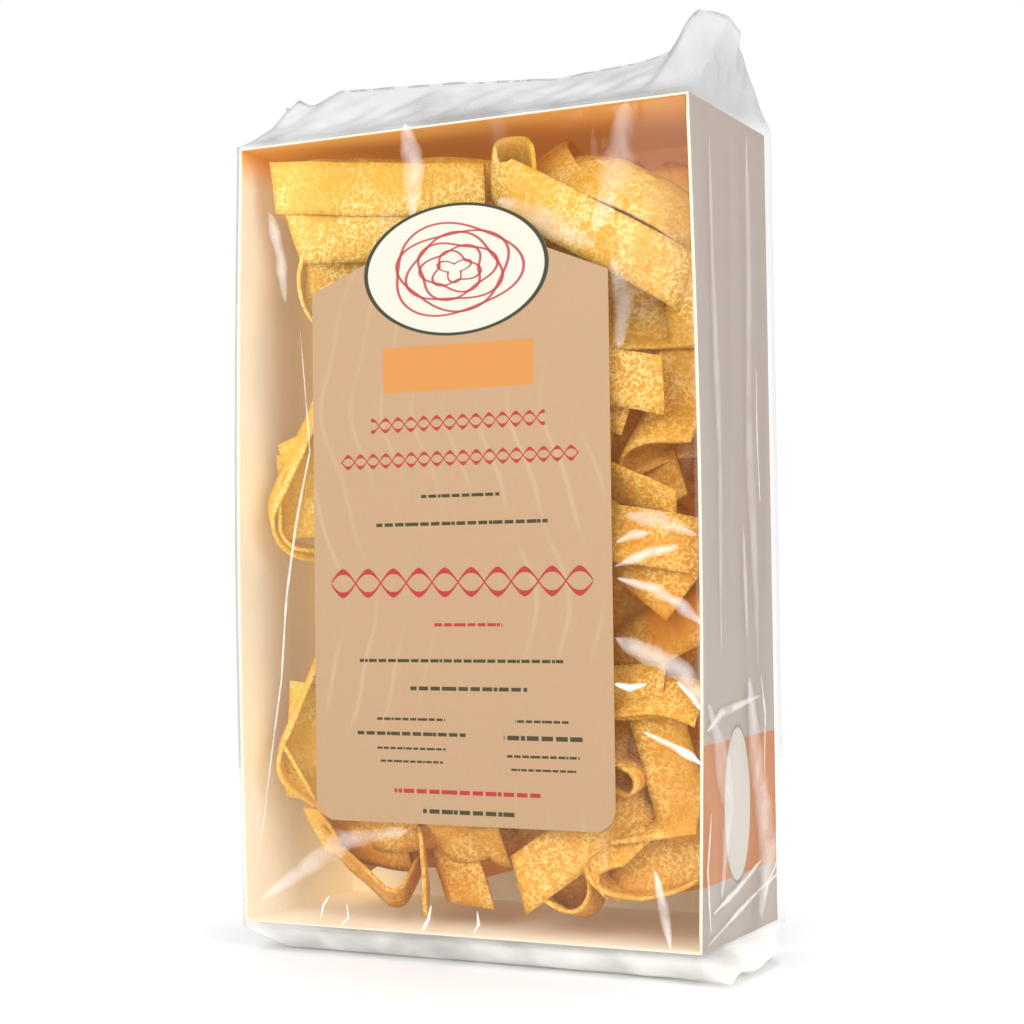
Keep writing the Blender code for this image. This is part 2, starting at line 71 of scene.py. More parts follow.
ROOM_OVERLAP = 4.0
TRAY_ROOM = ((-76.6, 1.2, 1.6), (76.6, 65, 248.4))
CORE_SHRINK = 3.0
CORE_SHAPE = 0.7
CORE_ROUGHNESS = 0.06

WRAPS = 13
WRAP_STANDOFF = 3
WRAP_DEPTH = 11
WRAP_STAGGER = 2
WRAP_SINK = 4
WRAP_SPREAD = 0.6
WRAP_REACH = 0.66
WRAP_WALK = 220.0
WRAP_LEAN = 22
LEAST_SLOPE = 0.3
GOLDEN_ANGLE = 137.5

# Pasta this far behind the tray's front edge is painted browner, a painted shade for the less light
# that comes there.
DEEP_START = 11.0
DEEP_END = 28.0


def linear(*rgb):
    """A colour given as 0 to 255 the way a screen shows it, as linear red, green, blue, alpha."""
    parts = [c / 255 for c in rgb]
    return (*[p / 12.92 if p < 0.04 else ((p + 0.055) / 1.055) ** 2.4 for p in parts], 1)


def ribbon(at, angle, dive=0, roll=0, ahead=(), behind=(), width=RIBBON_WIDTH, skew=(0, 0)):
    """One ribbon of pasta, as a walk both ways from the point `at`.

    angle is its heading in the plane of the front, dive the heading's turn into the tray, and
    roll the ribbon's turn about its heading. Each bend is a length, a turn towards the back of
    the tray and a twist. skew slants the two cut ends.
    """
    return dict(at=at, angle=angle, dive=dive, roll=roll, ahead=ahead, behind=behind,
                width=width, skew=skew)


# Each nest has the room it fills, as (x, depth, height) from one corner to the other.
ROOMS = {
    "top_left": ((-76.4, 1.6, 171), (3.4, 64.4, 248.2)),
    "top_right": ((4.6, 1.6, 180.6), (76.4, 64.4, 248.2)),
    "middle_left": ((-76.4, 1.6, 89), (-0.8, 64.4, 169.4)),
    "middle_right": ((0.8, 1.6, 86), (76.4, 64.4, 179.2)),
    "bottom_left": ((-76.4, 1.6, 2), (7.4, 64.4, 87.4)),
    "bottom_right": ((8.8, 1.6, 2), (76.4, 64.4, 84.6)),
}

# Each nest's core, as its middle and its radii.
CORES = {
    "top_left": ((-28, 39, 206), (31, 23, 28)),
    "top_right": ((41, 39, 211), (30, 23, 27)),
    "middle_left": ((-30, 39, 131), (30, 22, 32)),
    "middle_right": ((38, 40, 132), (33, 22, 40)),
    "bottom_left": ((-26, 40, 47), (32, 22, 34)),
    "bottom_right": ((42, 40, 45), (29, 22, 34)),
}

# The ribbons that show at the front, from places read in the photo and turned into
# millimetres and degrees by a scratch program, which also wrote this table out.
NESTS = {
    "top_left": [
        ribbon((-31, 6, 233), -6, dive=3,
               ahead=((37, 0, 0), (14, 20, 0), (20, 150, 0), (30, 0, 0)),
               behind=((37, 0, 0),), skew=(-14, 0)),
        ribbon((-40, 6, 219), -4, dive=4,
               ahead=((21, 0, 0), (14, 20, 0), (20, 150, 0), (30, 0, 0)),
               behind=((21, 0, 0),), skew=(-24, 0)),
        ribbon((-47, 13, 238), -4, dive=3, roll=-15,
               ahead=((19, 15, 0), (12, 80, 0), (12, 0, 0)),
               behind=((19, 15, 0), (12, 80, 0), (12, 0, 0))),
        ribbon((-7, 13, 234), -7, dive=3, roll=-15,
               ahead=((17, 15, 0), (12, 80, 0), (12, 0, 0)),
               behind=((17, 15, 0), (12, 80, 0), (12, 0, 0))),
        ribbon((-62, 11, 203), -82, dive=5, roll=66,
               ahead=((11, 28, 0), (12, 30, 0)),
               behind=((11, 28, 0), (10, 20, 0), (12, 40, 0))),
        ribbon((-40, 10, 208), 1, dive=6, roll=10,
               ahead=((14, 0, 0), (12, 10, 0)),
               behind=((14, 0, 0), (4, 0, 0))),
    ],
    "top_right": [
        ribbon((43, 4, 214), -30, dive=1, roll=-4,
               ahead=((25, 0, -5), (7, 20, -6), (24, 145, 0), (22, 5, 0)),
               behind=((25, 0, 5), (9, 10, 30), (22, 215, 30), (9, 0, 0))),
        ribbon((50, 11, 228), -22, dive=-5, roll=-38,
               ahead=((25, 30, 0), (16, 30, 10), (14, 50, 0)),
               behind=((25, 30, 0), (8, 30, -5))),
        ribbon((38, 14, 229), -27, dive=-7, roll=-36,
               ahead=((12, 17, 0), (10, 30, 0)),
               behind=((12, 17, 0), (5, 30, 0)), width=10),
        ribbon((48, 14, 221), -29, dive=-2, roll=-60,
               ahead=((14, 0, 0), (8, 40, 0), (12, 90, 0)),
               behind=((14, 0, 0), (6, 30, 0), (14, 120, 0))),
        ribbon((66, 13, 181), -25, dive=-5, roll=-20,
               ahead=((11, 0, 0),),
               behind=((11, 0, 0), (16, 20, 0))),
        ribbon((63, 9, 177), -11, dive=-4, roll=-50,
               ahead=((15, 0, 0),),
               behind=((15, 0, 0), (16, 20, 0))),
        ribbon((75, 8, 177), -88, roll=15,
               ahead=((14, 0, 0),),
               behind=((14, 0, 0), (10, 20, 0))),
    ],
    "middle_right": [
        ribbon((58, 3, 167), -11,
               ahead=((10, 0, 0),),
               behind=((10, 0, 0), (18, 30, 0), (20, 100, 0), (18, 0, 0)), skew=(0, -12)),
        ribbon((50, 6, 161), -19,
               ahead=((6, 0, 0),),
               behind=((6, 0, 0), (18, 20, 0))),
        ribbon((69, 12, 169), 83, roll=10,
               ahead=((8, 0, 0),),
               behind=((8, 0, 0), (10, 0, 0))),
        ribbon((72, 8, 154), -1, roll=-46,
               ahead=((6, 0, 0), (10, 20, 0)),
               behind=((6, 0, 0), (7, 20, 0), (22, 95, 0), (12, 10, 0))),
        ribbon((62, 13, 137), 26, dive=-7, roll=-20,
               ahead=((8, 0, 0),),
               behind=((8, 0, 0), (16, 10, 0))),
        ribbon((59, 8, 132), -23, dive=-8, roll=38,
               ahead=((12, 0, 0),),
               behind=((12, 0, 0), (16, 10, 0))),
        ribbon((58, 4, 121), -8, dive=-3, roll=-14,
               ahead=((10, 10, 0), (14, 40, 0), (12, 60, 0)),
               behind=((10, 10, 0), (16, 20, 0), (18, 90, 0))),
        ribbon((65, 6, 108), -38, dive=-6,
               ahead=((9, 0, 0),),
               behind=((9, 0, 0), (22, 20, 0))),
        ribbon((67, 12, 94), 23, dive=-11, roll=-10,
               ahead=((11, 0, 0),),
               behind=((11, 0, 0), (18, 20, 0))),
        ribbon((57, 20, 94), -28,
               ahead=((16, 0, 0),),
               behind=((16, 0, 0), (18, 20, 0))),
    ],
    "bottom_right": [
        ribbon((56, 7, 75), 3, roll=-20,
               ahead=((9, 0, 0),),
               behind=((9, 0, 0), (18, 20, 0))),
        ribbon((63, 5, 73), -3, roll=-42,
               ahead=((14, 15, 0), (8, 20, 0)),
               behind=((14, 15, 0), (14, 60, 0))),
        ribbon((66, 8, 54), -74,
               ahead=((15, 0, 0), (8, 10, 0)),
               behind=((15, 0, 0), (10, 60, 0))),
        ribbon((49, 10, 56), -23, roll=-80,
               ahead=((7, 0, 0), (12, 175, 0), (20, 0, 0)),
               behind=((7, 0, 0), (16, 0, 0))),
        ribbon((66, 5, 36), 19, dive=-5, roll=-55,
               ahead=((11, 0, 25), (6, 10, 0)),
               behind=((11, 0, -25), (6, 0, -15))),
        ribbon((50, 4, 27), -135, dive=-16, roll=30,
               ahead=((6, 0, 0), (9, 110, 0)),
               behind=((6, 0, 0), (6, 0, 0)), width=11),
        ribbon((63, 9, 25), 14, roll=-10,
               ahead=((9, 0, 0), (10, 10, 0)),
               behind=((9, 0, 0), (10, 30, 0))),
        ribbon((56, 7, 16), -2, roll=-84,
               ahead=((8, -12, 0), (16, -30, 0)),
               behind=((8, -12, 0), (10, -60, 0))),
        ribbon((47, 16, 60), -8, roll=-10,
               ahead=((7, 0, 0),),
               behind=((7, 0, 0), (16, 0, 0))),
        ribbon((50, 10, 38), 6, roll=-20,
               ahead=((7, 0, 0),),
               behind=((7, 0, 0), (16, 0, 0))),
        ribbon((29, 4, 24), 36, dive=4,
               ahead=((13, 0, 0), (22, 30, 0)),
               behind=((13, 0, 0),), skew=(20, 0)),
        ribbon((27, 10, 10), -24, roll=74,
               ahead=((5, 0, 0), (7, 70, 0), (9, 75, 0), (10, 40, 0)),
               behind=((5, 0, 0), (6, 0, 0)), width=15),
        ribbon((29, 14, 14), 5, roll=38,
               ahead=((8, 38, 0), (8, 30, 0)),
               behind=((8, 38, 0), (8, 30, 0)), width=15),
    ],
    "bottom_left": [
        ribbon((-62, 9, 71), -115, dive=-3, roll=58,
               ahead=((17, 0, 0), (14, 75, 0), (18, 5, 0)),
               behind=((17, 0, 0), (10, 0, 0))),
        ribbon((-61, 12, 57), -95,
               ahead=((9, 0, 0), (10, 20, 0)),
               behind=((9, 0, 0), (10, 0, 0))),
        ribbon((-60, 8, 43), -55, roll=60,
               ahead=((7, 0, 0), (16, 0, 0)),
               behind=((7, 0, 0), (6, 0, 0))),
        ribbon((-51, 12, 27), -9, roll=30,
               ahead=((8, 0, 0), (18, 10, 0)),
               behind=((8, 0, 0),), skew=(-20, 0)),
        ribbon((-30, 7, 30), 0, roll=34,
               ahead=((15, 31, 0), (10, 50, 0)),
               behind=((15, 31, 0), (10, 30, 0))),
        ribbon((-4, 7, 28), 10, roll=36,
               ahead=((8, 33, 0), (10, 50, 0)),
               behind=((8, 33, 0), (10, 50, 0))),
        ribbon((13, 8, 28), 15, roll=36,
               ahead=((10, 33, 0), (10, 50, 0)),
               behind=((10, 33, 0), (10, 50, 0))),
        ribbon((-40, 12, 15), -36, dive=-3, roll=50,
               ahead=((9, 0, 0), (7, 110, 0), (10, 0, 0)),
               behind=((9, 0, 0), (12, 0, 0)), width=13),
        ribbon((-19, 12, 13), -89, dive=4, roll=62,
               ahead=((8, 0, 0),),
               behind=((8, 0, 0), (12, 0, 0))),
        ribbon((-6, 14, 14), -71, roll=10,
               ahead=((7, 0, 0),),
               behind=((7, 0, 0), (12, 0, 0)), skew=(0, 22)),
    ],
    "middle_left": [
        ribbon((-65, 8, 146), -120, roll=48,
               ahead=((12, 0, 0), (24, 105, 0), (16, 10, 0)),
               behind=((12, 0, 0), (14, 0, 0))),
        ribbon((-72, 12, 133), -92, dive=6, roll=60,
               ahead=((5, 0, 0), (12, 80, 0), (18, 5, 0)),
               behind=((5, 0, 0), (10, 50, 0), (8, 0, 0))),
        ribbon((-65, 14, 131), -87, roll=10,
               ahead=((8, 0, 0),),
               behind=((8, 0, 0), (12, 0, 0))),
        ribbon((-60, 11, 148), 20, dive=7, roll=10,
               ahead=((8, 0, 0), (18, 0, 0)),
               behind=((8, 0, 0),)),
    ],
}


class Field:
    """A number, colour or vector that changes over a surface, with the signs of arithmetic."""

    def __init__(self, finish, socket):
        self.finish = finish
        self.socket = socket

    def maths(self, operation, *others, clamp=False):
        return self.finish.node("ShaderNodeMath", (self, *others),
                                operation=operation, use_clamp=clamp)

    def __add__(self, other):
        return self.maths("ADD", other)

    def __sub__(self, other):
        return self.maths("SUBTRACT", other)

    def __rsub__(self, other):
        return self.finish.node("ShaderNodeMath", (other, self), operation="SUBTRACT")

    def __mul__(self, other):
        return self.maths("MULTIPLY", other)

    def __truediv__(self, other):
        return self.maths("DIVIDE", other)

    def __pow__(self, other):
        return self.maths("POWER", other)

    def __neg__(self):
        return self.maths("MULTIPLY", -1)

    def __abs__(self):
        return self.maths("ABSOLUTE")

    __radd__ = __add__
    __rmul__ = __mul__

    def over(self, other):
        """The greater of the two."""
        return self.maths("MAXIMUM", other)

    def under(self, other):
        """The lesser of the two."""
        return self.maths("MINIMUM", other)

    def rise(self, start, end):
        """From 0 to 1 as this goes from start to end, smoothly. Falls where start is greater."""
        low, high = min(start, end), max(start, end)
        ends = (0, 1) if start < end else (1, 0)
        return self.finish.node("ShaderNodeMapRange", (self, low, high, *ends),
                                interpolation_type="SMOOTHSTEP")

    def within(self, start, end, soft):
        """1 between start and end, with soft borders."""
        return self.rise(start - soft, start + soft) * self.rise(end + soft, end - soft)


class Finish:
    """A procedural material under construction."""

    def __init__(self, name):
        self.material = bpy.data.materials.new(name)
        self.material.use_nodes = True
        self.material.cycles.emission_sampling = "NONE"
        self.tree = self.material.node_tree
        self.tree.nodes.clear()
        self.place = self.node("ShaderNodeTexCoord", output="Object")
        self.x, self.y, self.z = self.split(self.place, 1 / MM)

    def node(self, kind, inputs=(), output=0, stops=(), **settings):
        """A node with its settings made first, then its sockets' values or links."""
        made = self.tree.nodes.new(kind)
        for name, value in settings.items():
            setattr(made, name, value)
        for number, (position, colour) in enumerate(stops):
            entry = made.color_ramp.elements
            stop = entry[number] if number < 2 else entry.new(position)
            stop.position = position
            stop.color = colour
        pairs = inputs.items() if isinstance(inputs, dict) else enumerate(inputs)
        for socket, value in pairs:
            if isinstance(value, Field):
                self.tree.links.new(value.socket, made.inputs[socket])
            else:
                made.inputs[socket].default_value = value
        return Field(self, made.outputs[output]) if made.outputs else None

    def split(self, vector, scale):
        parts = self.node("ShaderNodeSeparateXYZ", (vector,)).socket.node.outputs
        return [Field(self, part) * scale for part in parts]

    def grain(self, scale, detail=2.0, place=None, rough=0.5, distortion=0.0, **settings):
        """Noise from 0 to 1 with this many features a metre."""
        return self.node("ShaderNodeTexNoise",
                         {"Vector": place or self.place, "Scale": scale, "Detail": detail,
                          "Roughness": rough, "Distortion": distortion}, **settings)

    def moved(self, offset, strength):
        """The place, pushed about by a colour's three parts."""
        centred = self.node("ShaderNodeVectorMath", (offset, (0.5, 0.5, 0.5)),
                            operation="SUBTRACT")
        pushed = self.node("ShaderNodeVectorMath", {0: centred, "Scale": strength},
                           operation="SCALE")
        return self.node("ShaderNodeVectorMath", (self.place, pushed), operation="ADD")

    def stretched(self, scale, turn=(0, 0, 0)):
        """The place with its axes scaled, for a grain that runs one way."""
        return self.node("ShaderNodeMapping", {0: self.place, 2: turn, 3: scale})

    def mix(self, mask, one, other):
        """From the one colour to the other as the mask goes from 0 to 1."""
        return self.node("ShaderNodeMix", {0: mask, 6: one, 7: other}, output=2,
                         data_type="RGBA")

    def bump(self, height, depth, strength=1.0):
        """A normal for a relief this many millimetres deep."""
        return self.node("ShaderNodeBump",
                         {"Strength": strength, "Distance": depth * MM, "Height": height})

    def surface(self, **sockets):
        """A Principled shader. Underscores in the names stand for spaces."""
        values = {name.replace("_", " "): value for name, value in sockets.items()}
        return self.node("ShaderNodeBsdfPrincipled", values)

    def done(self, shader):
        self.node("ShaderNodeOutputMaterial", (shader,))
        return self.material


def add_piece(name, bm, finish, smooth=True):
    """Makes an object of the mesh that rides on the pack and has this finish."""
    mesh = bpy.data.meshes.new(name)
    bm.to_mesh(mesh)
    bm.free()
    for face in mesh.polygons:
        face.use_smooth = smooth
    mesh.materials.append(finish)
    made = bpy.data.objects.new(name, mesh)
    bpy.context.scene.collection.objects.link(made)
    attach(made, BODY)
    return made


def in_tray(x, depth, height):
    """A place in the tray, as a world place in millimetres."""
    return Vector((x, depth - TRAY_DEPTH / 2, height + TRAY_LIFT))


def bulge(y, z):
    """How far the tray's side stands out there: most at the middle of its front edge."""
    level = min(max((z - TRAY_LIFT) / TRAY_HEIGHT, 0), 1)
    frontness = min(max(0.5 - y / TRAY_DEPTH, 0), 1)
    return TRAY_BULGE * sin(pi * level) * frontness


def smooth_rise(value, start, end):
    """From 0 to 1 as the value goes from start to end."""
    step = min(max((value - start) / (end - start), 0), 1)
    return step * step * (3 - 2 * step)


def sheet(bm, columns, rows, place, mark=None):
    """A grid laid out by place(column, row), which gives a point in millimetres."""
    made = bmesh.ops.create_grid(bm, x_segments=columns, y_segments=rows, size=1)["verts"]
    for corner in made:
        column = round((corner.co.x + 1) / 2 * columns)
        row = round((corner.co.y + 1) / 2 * rows)
        corner.co = place(column, row) * MM
        if mark:
            mark(corner, row)


def pasta_finish():
    """Dried egg dough: golden, with a pale lace where the rollers left it rough."""
    finish = Finish("egg pasta")
    push = finish.grain(620, detail=3.0)
    push = Field(finish, push.socket.node.outputs["Color"])
    wander = finish.moved(push, 0.0017)
    lines = abs(finish.grain(480, detail=3.0, place=wander) - 0.5)
    lace = lines.rise(0.075, 0.0)
    patches = finish.grain(60, detail=2.0).rise(0.34, 0.62)
    speckle = finish.grain(1300, detail=1.0).rise(0.4, 0.7)
    depth, height = finish.y + TRAY_DEPTH / 2, finish.z - TRAY_LIFT
    # Painted shade: browner, with less lace, deeper in the tray and in the gap between the two
    # right-hand nests.
    painted_hollow_shade = finish.x.rise(52, 58) * height.within(89, 108, 5) * depth.rise(5, 11)
    painted_depth_shade = depth.rise(DEEP_START, DEEP_END).over(painted_hollow_shade)
    pale = (lace * (patches * 0.6 + 0.25) + speckle * patches * 0.3).under(1.0) * (1 - painted_depth_shade * 0.7)
    tone = finish.grain(24, detail=1.0)
    golden = finish.mix(tone.rise(0.3, 0.7), linear(186, 130, 22), linear(200, 150, 38))
    left = finish.x.rise(-46, -60)
    warm = height.rise(190, 150) * (1 - left * 0.8)
    golden = finish.mix(warm * 0.6, golden, linear(198, 122, 10))
    golden = finish.mix(painted_depth_shade * 0.8, golden, linear(174, 100, 14))
    lace_colour = finish.mix(warm * 0.6, linear(222, 198, 128), linear(222, 180, 82))
    colour = finish.mix(pale, golden, lace_colour)
    # Painted glow: the pasta gives off a warm light of its own, for light shining through it and
    # bounced between ribbons; stronger in the painted shade and strongest on the left nests, where
    # it lifts their shade.
    painted_glow = finish.mix(painted_depth_shade, linear(60, 39, 6), linear(98, 54, 4))
    painted_glow = finish.mix(left, painted_glow, linear(132, 112, 62))
    relief = finish.grain(2600, detail=1.0)
    shader = finish.surface(Base_Color=colour, Roughness=0.62 - pale * 0.1,
                            Specular_IOR_Level=0.35, Normal=finish.bump(relief, 0.06),
                            Emission_Color=painted_glow, Emission_Strength=1.0)
    return finish.done(shader)


def core_finish():
    """The dim middle of a nest, where little light comes: a darker copy of the pasta as painted
    shade, with a painted glow.
    """
    finish = Finish("inner pasta")
    # Painted shade: darker in the low parts of a streaky relief.
    depth = finish.grain(180, detail=3.0, place=finish.stretched((1, 1, 3))).rise(0.35, 0.65)
    colour = finish.mix(depth, linear(140, 84, 30), linear(196, 132, 50))
    shader = finish.surface(Base_Color=colour, Roughness=0.8, Normal=finish.bump(depth, 0.8),
                            Emission_Color=linear(94, 56, 12), Emission_Strength=1.0)
    return finish.done(shader)


def wraps(name):
    """The nest's inner turns: ribbons bent back over the core, each at its own slant."""
    (middle, _, level), (half_width, _, half_height) = CORES[name]
    half_width, half_height = half_width + WRAP_STANDOFF, half_height + WRAP_STANDOFF
    for number in range(WRAPS):
        slope = number * GOLDEN_ANGLE % 180 - 90
        sideways = half_width / max(abs(cos(radians(slope))), LEAST_SLOPE)
        upwards = half_height / max(abs(sin(radians(slope))), LEAST_SLOPE)
        away = WRAP_SPREAD * (number / WRAPS) ** 0.5
        reach = min(sideways, upwards) * (WRAP_REACH - away / 2)
        place = radians(number * WRAP_WALK)
        start = (middle + half_width * away * cos(place),
                 WRAP_DEPTH + WRAP_STAGGER * (number % 3) + WRAP_SINK * away,
                 level + half_height * away * sin(place))
        lean = WRAP_LEAN * sin(radians(number * GOLDEN_ANGLE))
        yield ribbon(start, slope, roll=lean,
                     ahead=((reach, 35, lean / 3), (22, 80, 8), (14, 30, 0)),
                     behind=((reach, 30, -lean / 3), (24, 85, -6), (14, 25, 0)))


def walk(point, heading, across, bends, side):
    """The stations of a ribbon that leaves the point with this heading."""
    point, heading, across = point.copy(), heading.copy(), across.copy()
    passed = []
    for length, turn, twist in bends:
        steps = max(1, ceil(length / STEP_LENGTH), ceil(abs(turn) / STEP_ANGLE),
                    ceil(abs(twist) / STEP_ANGLE))
        half_turn = radians(side * turn / steps / 2)
        half_twist = radians(side * twist / steps / 2)
        for _ in range(steps):
            for half in range(2):
                heading.rotate(Matrix.Rotation(half_turn, 3, across))
                across.rotate(Matrix.Rotation(half_twist, 3, heading))
                if half == 0:
                    point = point + heading * (length / steps)
            across = (across - heading * across.dot(heading)).normalized()
            passed.append((point.copy(), across.copy(), heading * side))
    return passed


def stations(strip):
    """Each station is a point, the ribbon's width there and its heading."""
    angle, dive, roll = radians(strip["angle"]), radians(strip["dive"]), radians(strip["roll"])
    heading = Vector((cos(angle) * cos(dive), sin(dive), sin(angle) * cos(dive)))
    across = Vector((-sin(angle), 0, cos(angle)))
    across.rotate(Matrix.Rotation(roll, 3, heading))
    start = in_tray(*strip["at"])
    ahead = walk(start, heading, across, strip["ahead"], 1)
    behind = walk(start, -heading, across, strip["behind"], -1)
    return list(reversed(behind)) + [(start, across, heading)] + ahead


def slanted(path, skew):
    """The widths along the path, leaning near its ends as the cuts do."""
    run = [0.0]
    for (one, _, _), (other, _, _) in zip(path, path[1:]):
        run.append(run[-1] + (other - one).length)
    widths = []
    for (_, across, heading), gone in zip(path, run):
        for lean, reach in ((skew[0], gone), (skew[1], run[-1] - gone)):
            fade = max(0, 1 - reach / SKEW_REACH)
            across = across + heading * tan(radians(lean)) * fade
        widths.append(across)
    return widths, run


def ribbon_surface(strip, number):
    """A ribbon of no thickness, cupped across its width and waved along its edges."""
    path = stations(strip)
    widths, run = slanted(path, strip["skew"])
    bm = bmesh.new()

    def place(column, row):
        point, _, heading = path[column]
        side = 2 * row / ACROSS_STEPS - 1
        off = heading.cross(widths[column]).normalized()
        drift = noise.noise(Vector((run[column] / SURFACE_WAVE_LENGTH, side * 0.5, number * 7.3)))
        ripple = noise.noise(Vector((run[column] / EDGE_WAVE_LENGTH, side * 2,
                                     number * 3.1 + 50)))
        lift = CUPPING * (side * side - 0.4) * cos(number * 2.4)
        lift += SURFACE_WAVE * 2 * drift + EDGE_WAVE * 2 * ripple * side * side
        stray = WIDTH_WAVE * noise.noise(Vector((run[column] / WIDTH_WAVE_LENGTH, number * 5.7,
                                                 side + 9)))
        reach = strip["width"] / 2 * side + stray * abs(side)
        return point + widths[column] * reach + off * lift

    sheet(bm, len(path) - 1, ACROSS_STEPS, place)
    return bm


def cut_to_room(bm, room):
    """Trims the surface at the six sides of the nest's room, a little past its neighbours."""
    for sign, corner, limit in zip((1, -1), room, TRAY_ROOM):
        for axis in range(3):
            outwards = Vector((0, 0, 0))
            outwards[axis] = -sign
            reach = list(corner)
            reach[axis] = corner[axis] - sign * ROOM_OVERLAP
            if sign * (reach[axis] - limit[axis]) < 0:
                reach[axis] = limit[axis]
            everything = list(bm.verts) + list(bm.edges) + list(bm.faces)
            bmesh.ops.bisect_plane(bm, geom=everything, plane_co=in_tray(*reach) * MM,
                                   plane_no=outwards, clear_outer=True)


def nest(name, strips, finish, core):
    """All of a nest's ribbons as one piece, over a dim core."""
    whole = bpy.data.meshes.new("ribbons")
    joined = bmesh.new()
    for number, strip in enumerate(strips + list(wraps(name))):
        surface = ribbon_surface(strip, number + len(name))
        cut_to_room(surface, ROOMS[name])
        surface.to_mesh(whole)
        surface.free()
        joined.from_mesh(whole)
    bpy.data.meshes.remove(whole)
    made = add_piece("ribbons_" + name, joined, finish)
    wall = made.modifiers.new("thickness", "SOLIDIFY")
    wall.thickness = RIBBON_THICKNESS * MM
    wall.offset = 0
    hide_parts("nest_" + name)
    middle, radii = CORES[name]
    bm = bmesh.new()
    bmesh.ops.create_icosphere(bm, subdivisions=4, radius=1)
    for corner in bm.verts:
        squared = [copysign(abs(c) ** CORE_SHAPE, c) for c in corner.co]
        rough = 1 + CORE_ROUGHNESS * noise.noise(corner.co * 5)
        corner.co = in_tray(*[m + (r - CORE_SHRINK) * s * rough
                              for m, r, s in zip(middle, radii, squared)]) * MM
    add_piece("core_" + name, bm, core)


TRAY_HEIGHT_CUTS = 39
TRAY_DEPTH_CUTS = 9
CARD_ROUNDING = 0.25

# The painted shade and warm bounce light under the tray's top start and end this far below it.
ROOF_FADE = (14, 1)

# The print on the right side: a band between two heights, and an oval on it.
BAND = (19, 60)
OVAL_MIDDLE = (30, 40.4)
OVAL_RADII = (11.8, 23.5)


def card_finish():
    """Tan card, pale at its cut edges, with a plain printed field low on its right side."""
    finish = Finish("kraft card")
    fibre = finish.grain(900, detail=4.0, place=finish.stretched((1, 1, 0.25)))
    cloud = finish.grain(30, detail=2.0)
    across, height = finish.y + TRAY_DEPTH / 2, finish.z - TRAY_LIFT
    tan_card = finish.mix(cloud.rise(0.3, 0.7), linear(226, 213, 190), linear(232, 223, 204))
    tan_card = finish.mix(fibre.rise(0.45, 0.75) * 0.22, tan_card, linear(252, 238, 214))
    # Painted shade: the inside turns darker and orange under the tray's top, where light bounces
    # off the pasta.
    roof_shade_and_bounce = height.rise(TRAY_HEIGHT - ROOF_FADE[0], TRAY_HEIGHT - ROOF_FADE[1])
    tan_card = finish.mix(roof_shade_and_bounce * 0.9, tan_card, linear(214, 150, 56))
    outside = finish.mix(fibre.rise(0.4, 0.8) * 0.25, linear(154, 141, 132), linear(168, 156, 147))
    normal = finish.node("ShaderNodeTexCoord", output="Normal")
    right, back, up = finish.split(normal, 1.0)
    sides = (right * finish.x.maths("SIGN")).rise(0.5, 0.8)
    ends = (up * (height - TRAY_HEIGHT / 2).maths("SIGN")).rise(0.5, 0.8)
    out = sides.over(ends).over(back.rise(0.5, 0.8))
    printed = sides * finish.x.rise(0, 1)
    band = height.within(*BAND, 0.3) * printed
    colour = finish.mix(out, tan_card, outside)
    colour = finish.mix(band * 0.95, colour, linear(172, 100, 24))
    off_y, off_z = across - OVAL_MIDDLE[0], height - OVAL_MIDDLE[1]
    oval = (off_y / OVAL_RADII[0]) ** 2 + (off_z / OVAL_RADII[1]) ** 2
    colour = finish.mix(oval.rise(1.03, 0.97) * printed, colour, linear(182, 174, 163))
    rim = oval.within(0.94, 1.03, 0.02) * printed
    colour = finish.mix(rim * 0.8, colour, linear(104, 102, 90))
    edge = finish.y.rise(-TRAY_DEPTH / 2 + 0.35, -TRAY_DEPTH / 2 + 0.05)
    colour = finish.mix(edge, colour, linear(218, 204, 182))
    relief = fibre + finish.grain(2500) * 0.4
    # Painted glow: the inside of the card gives off a warm light, for light bounced into the tray;
    # more at the back of the left wall, orange under the top, none outside or on the cut edges.
    left = finish.x.rise(-48, -68) * across.rise(25, 60)
    painted_glow = finish.mix(left, linear(84, 76, 60), linear(146, 124, 90))
    painted_glow = finish.mix(roof_shade_and_bounce, painted_glow, linear(112, 70, 20))
    painted_glow = finish.mix(out.over(edge), painted_glow, linear(0, 0, 0))
    shader = finish.surface(Base_Color=colour, Roughness=0.85 - out * 0.15,
                            Specular_IOR_Level=0.15, Normal=finish.bump(relief, 0.04),
                            Emission_Color=painted_glow, Emission_Strength=1.0)
    return finish.done(shader)


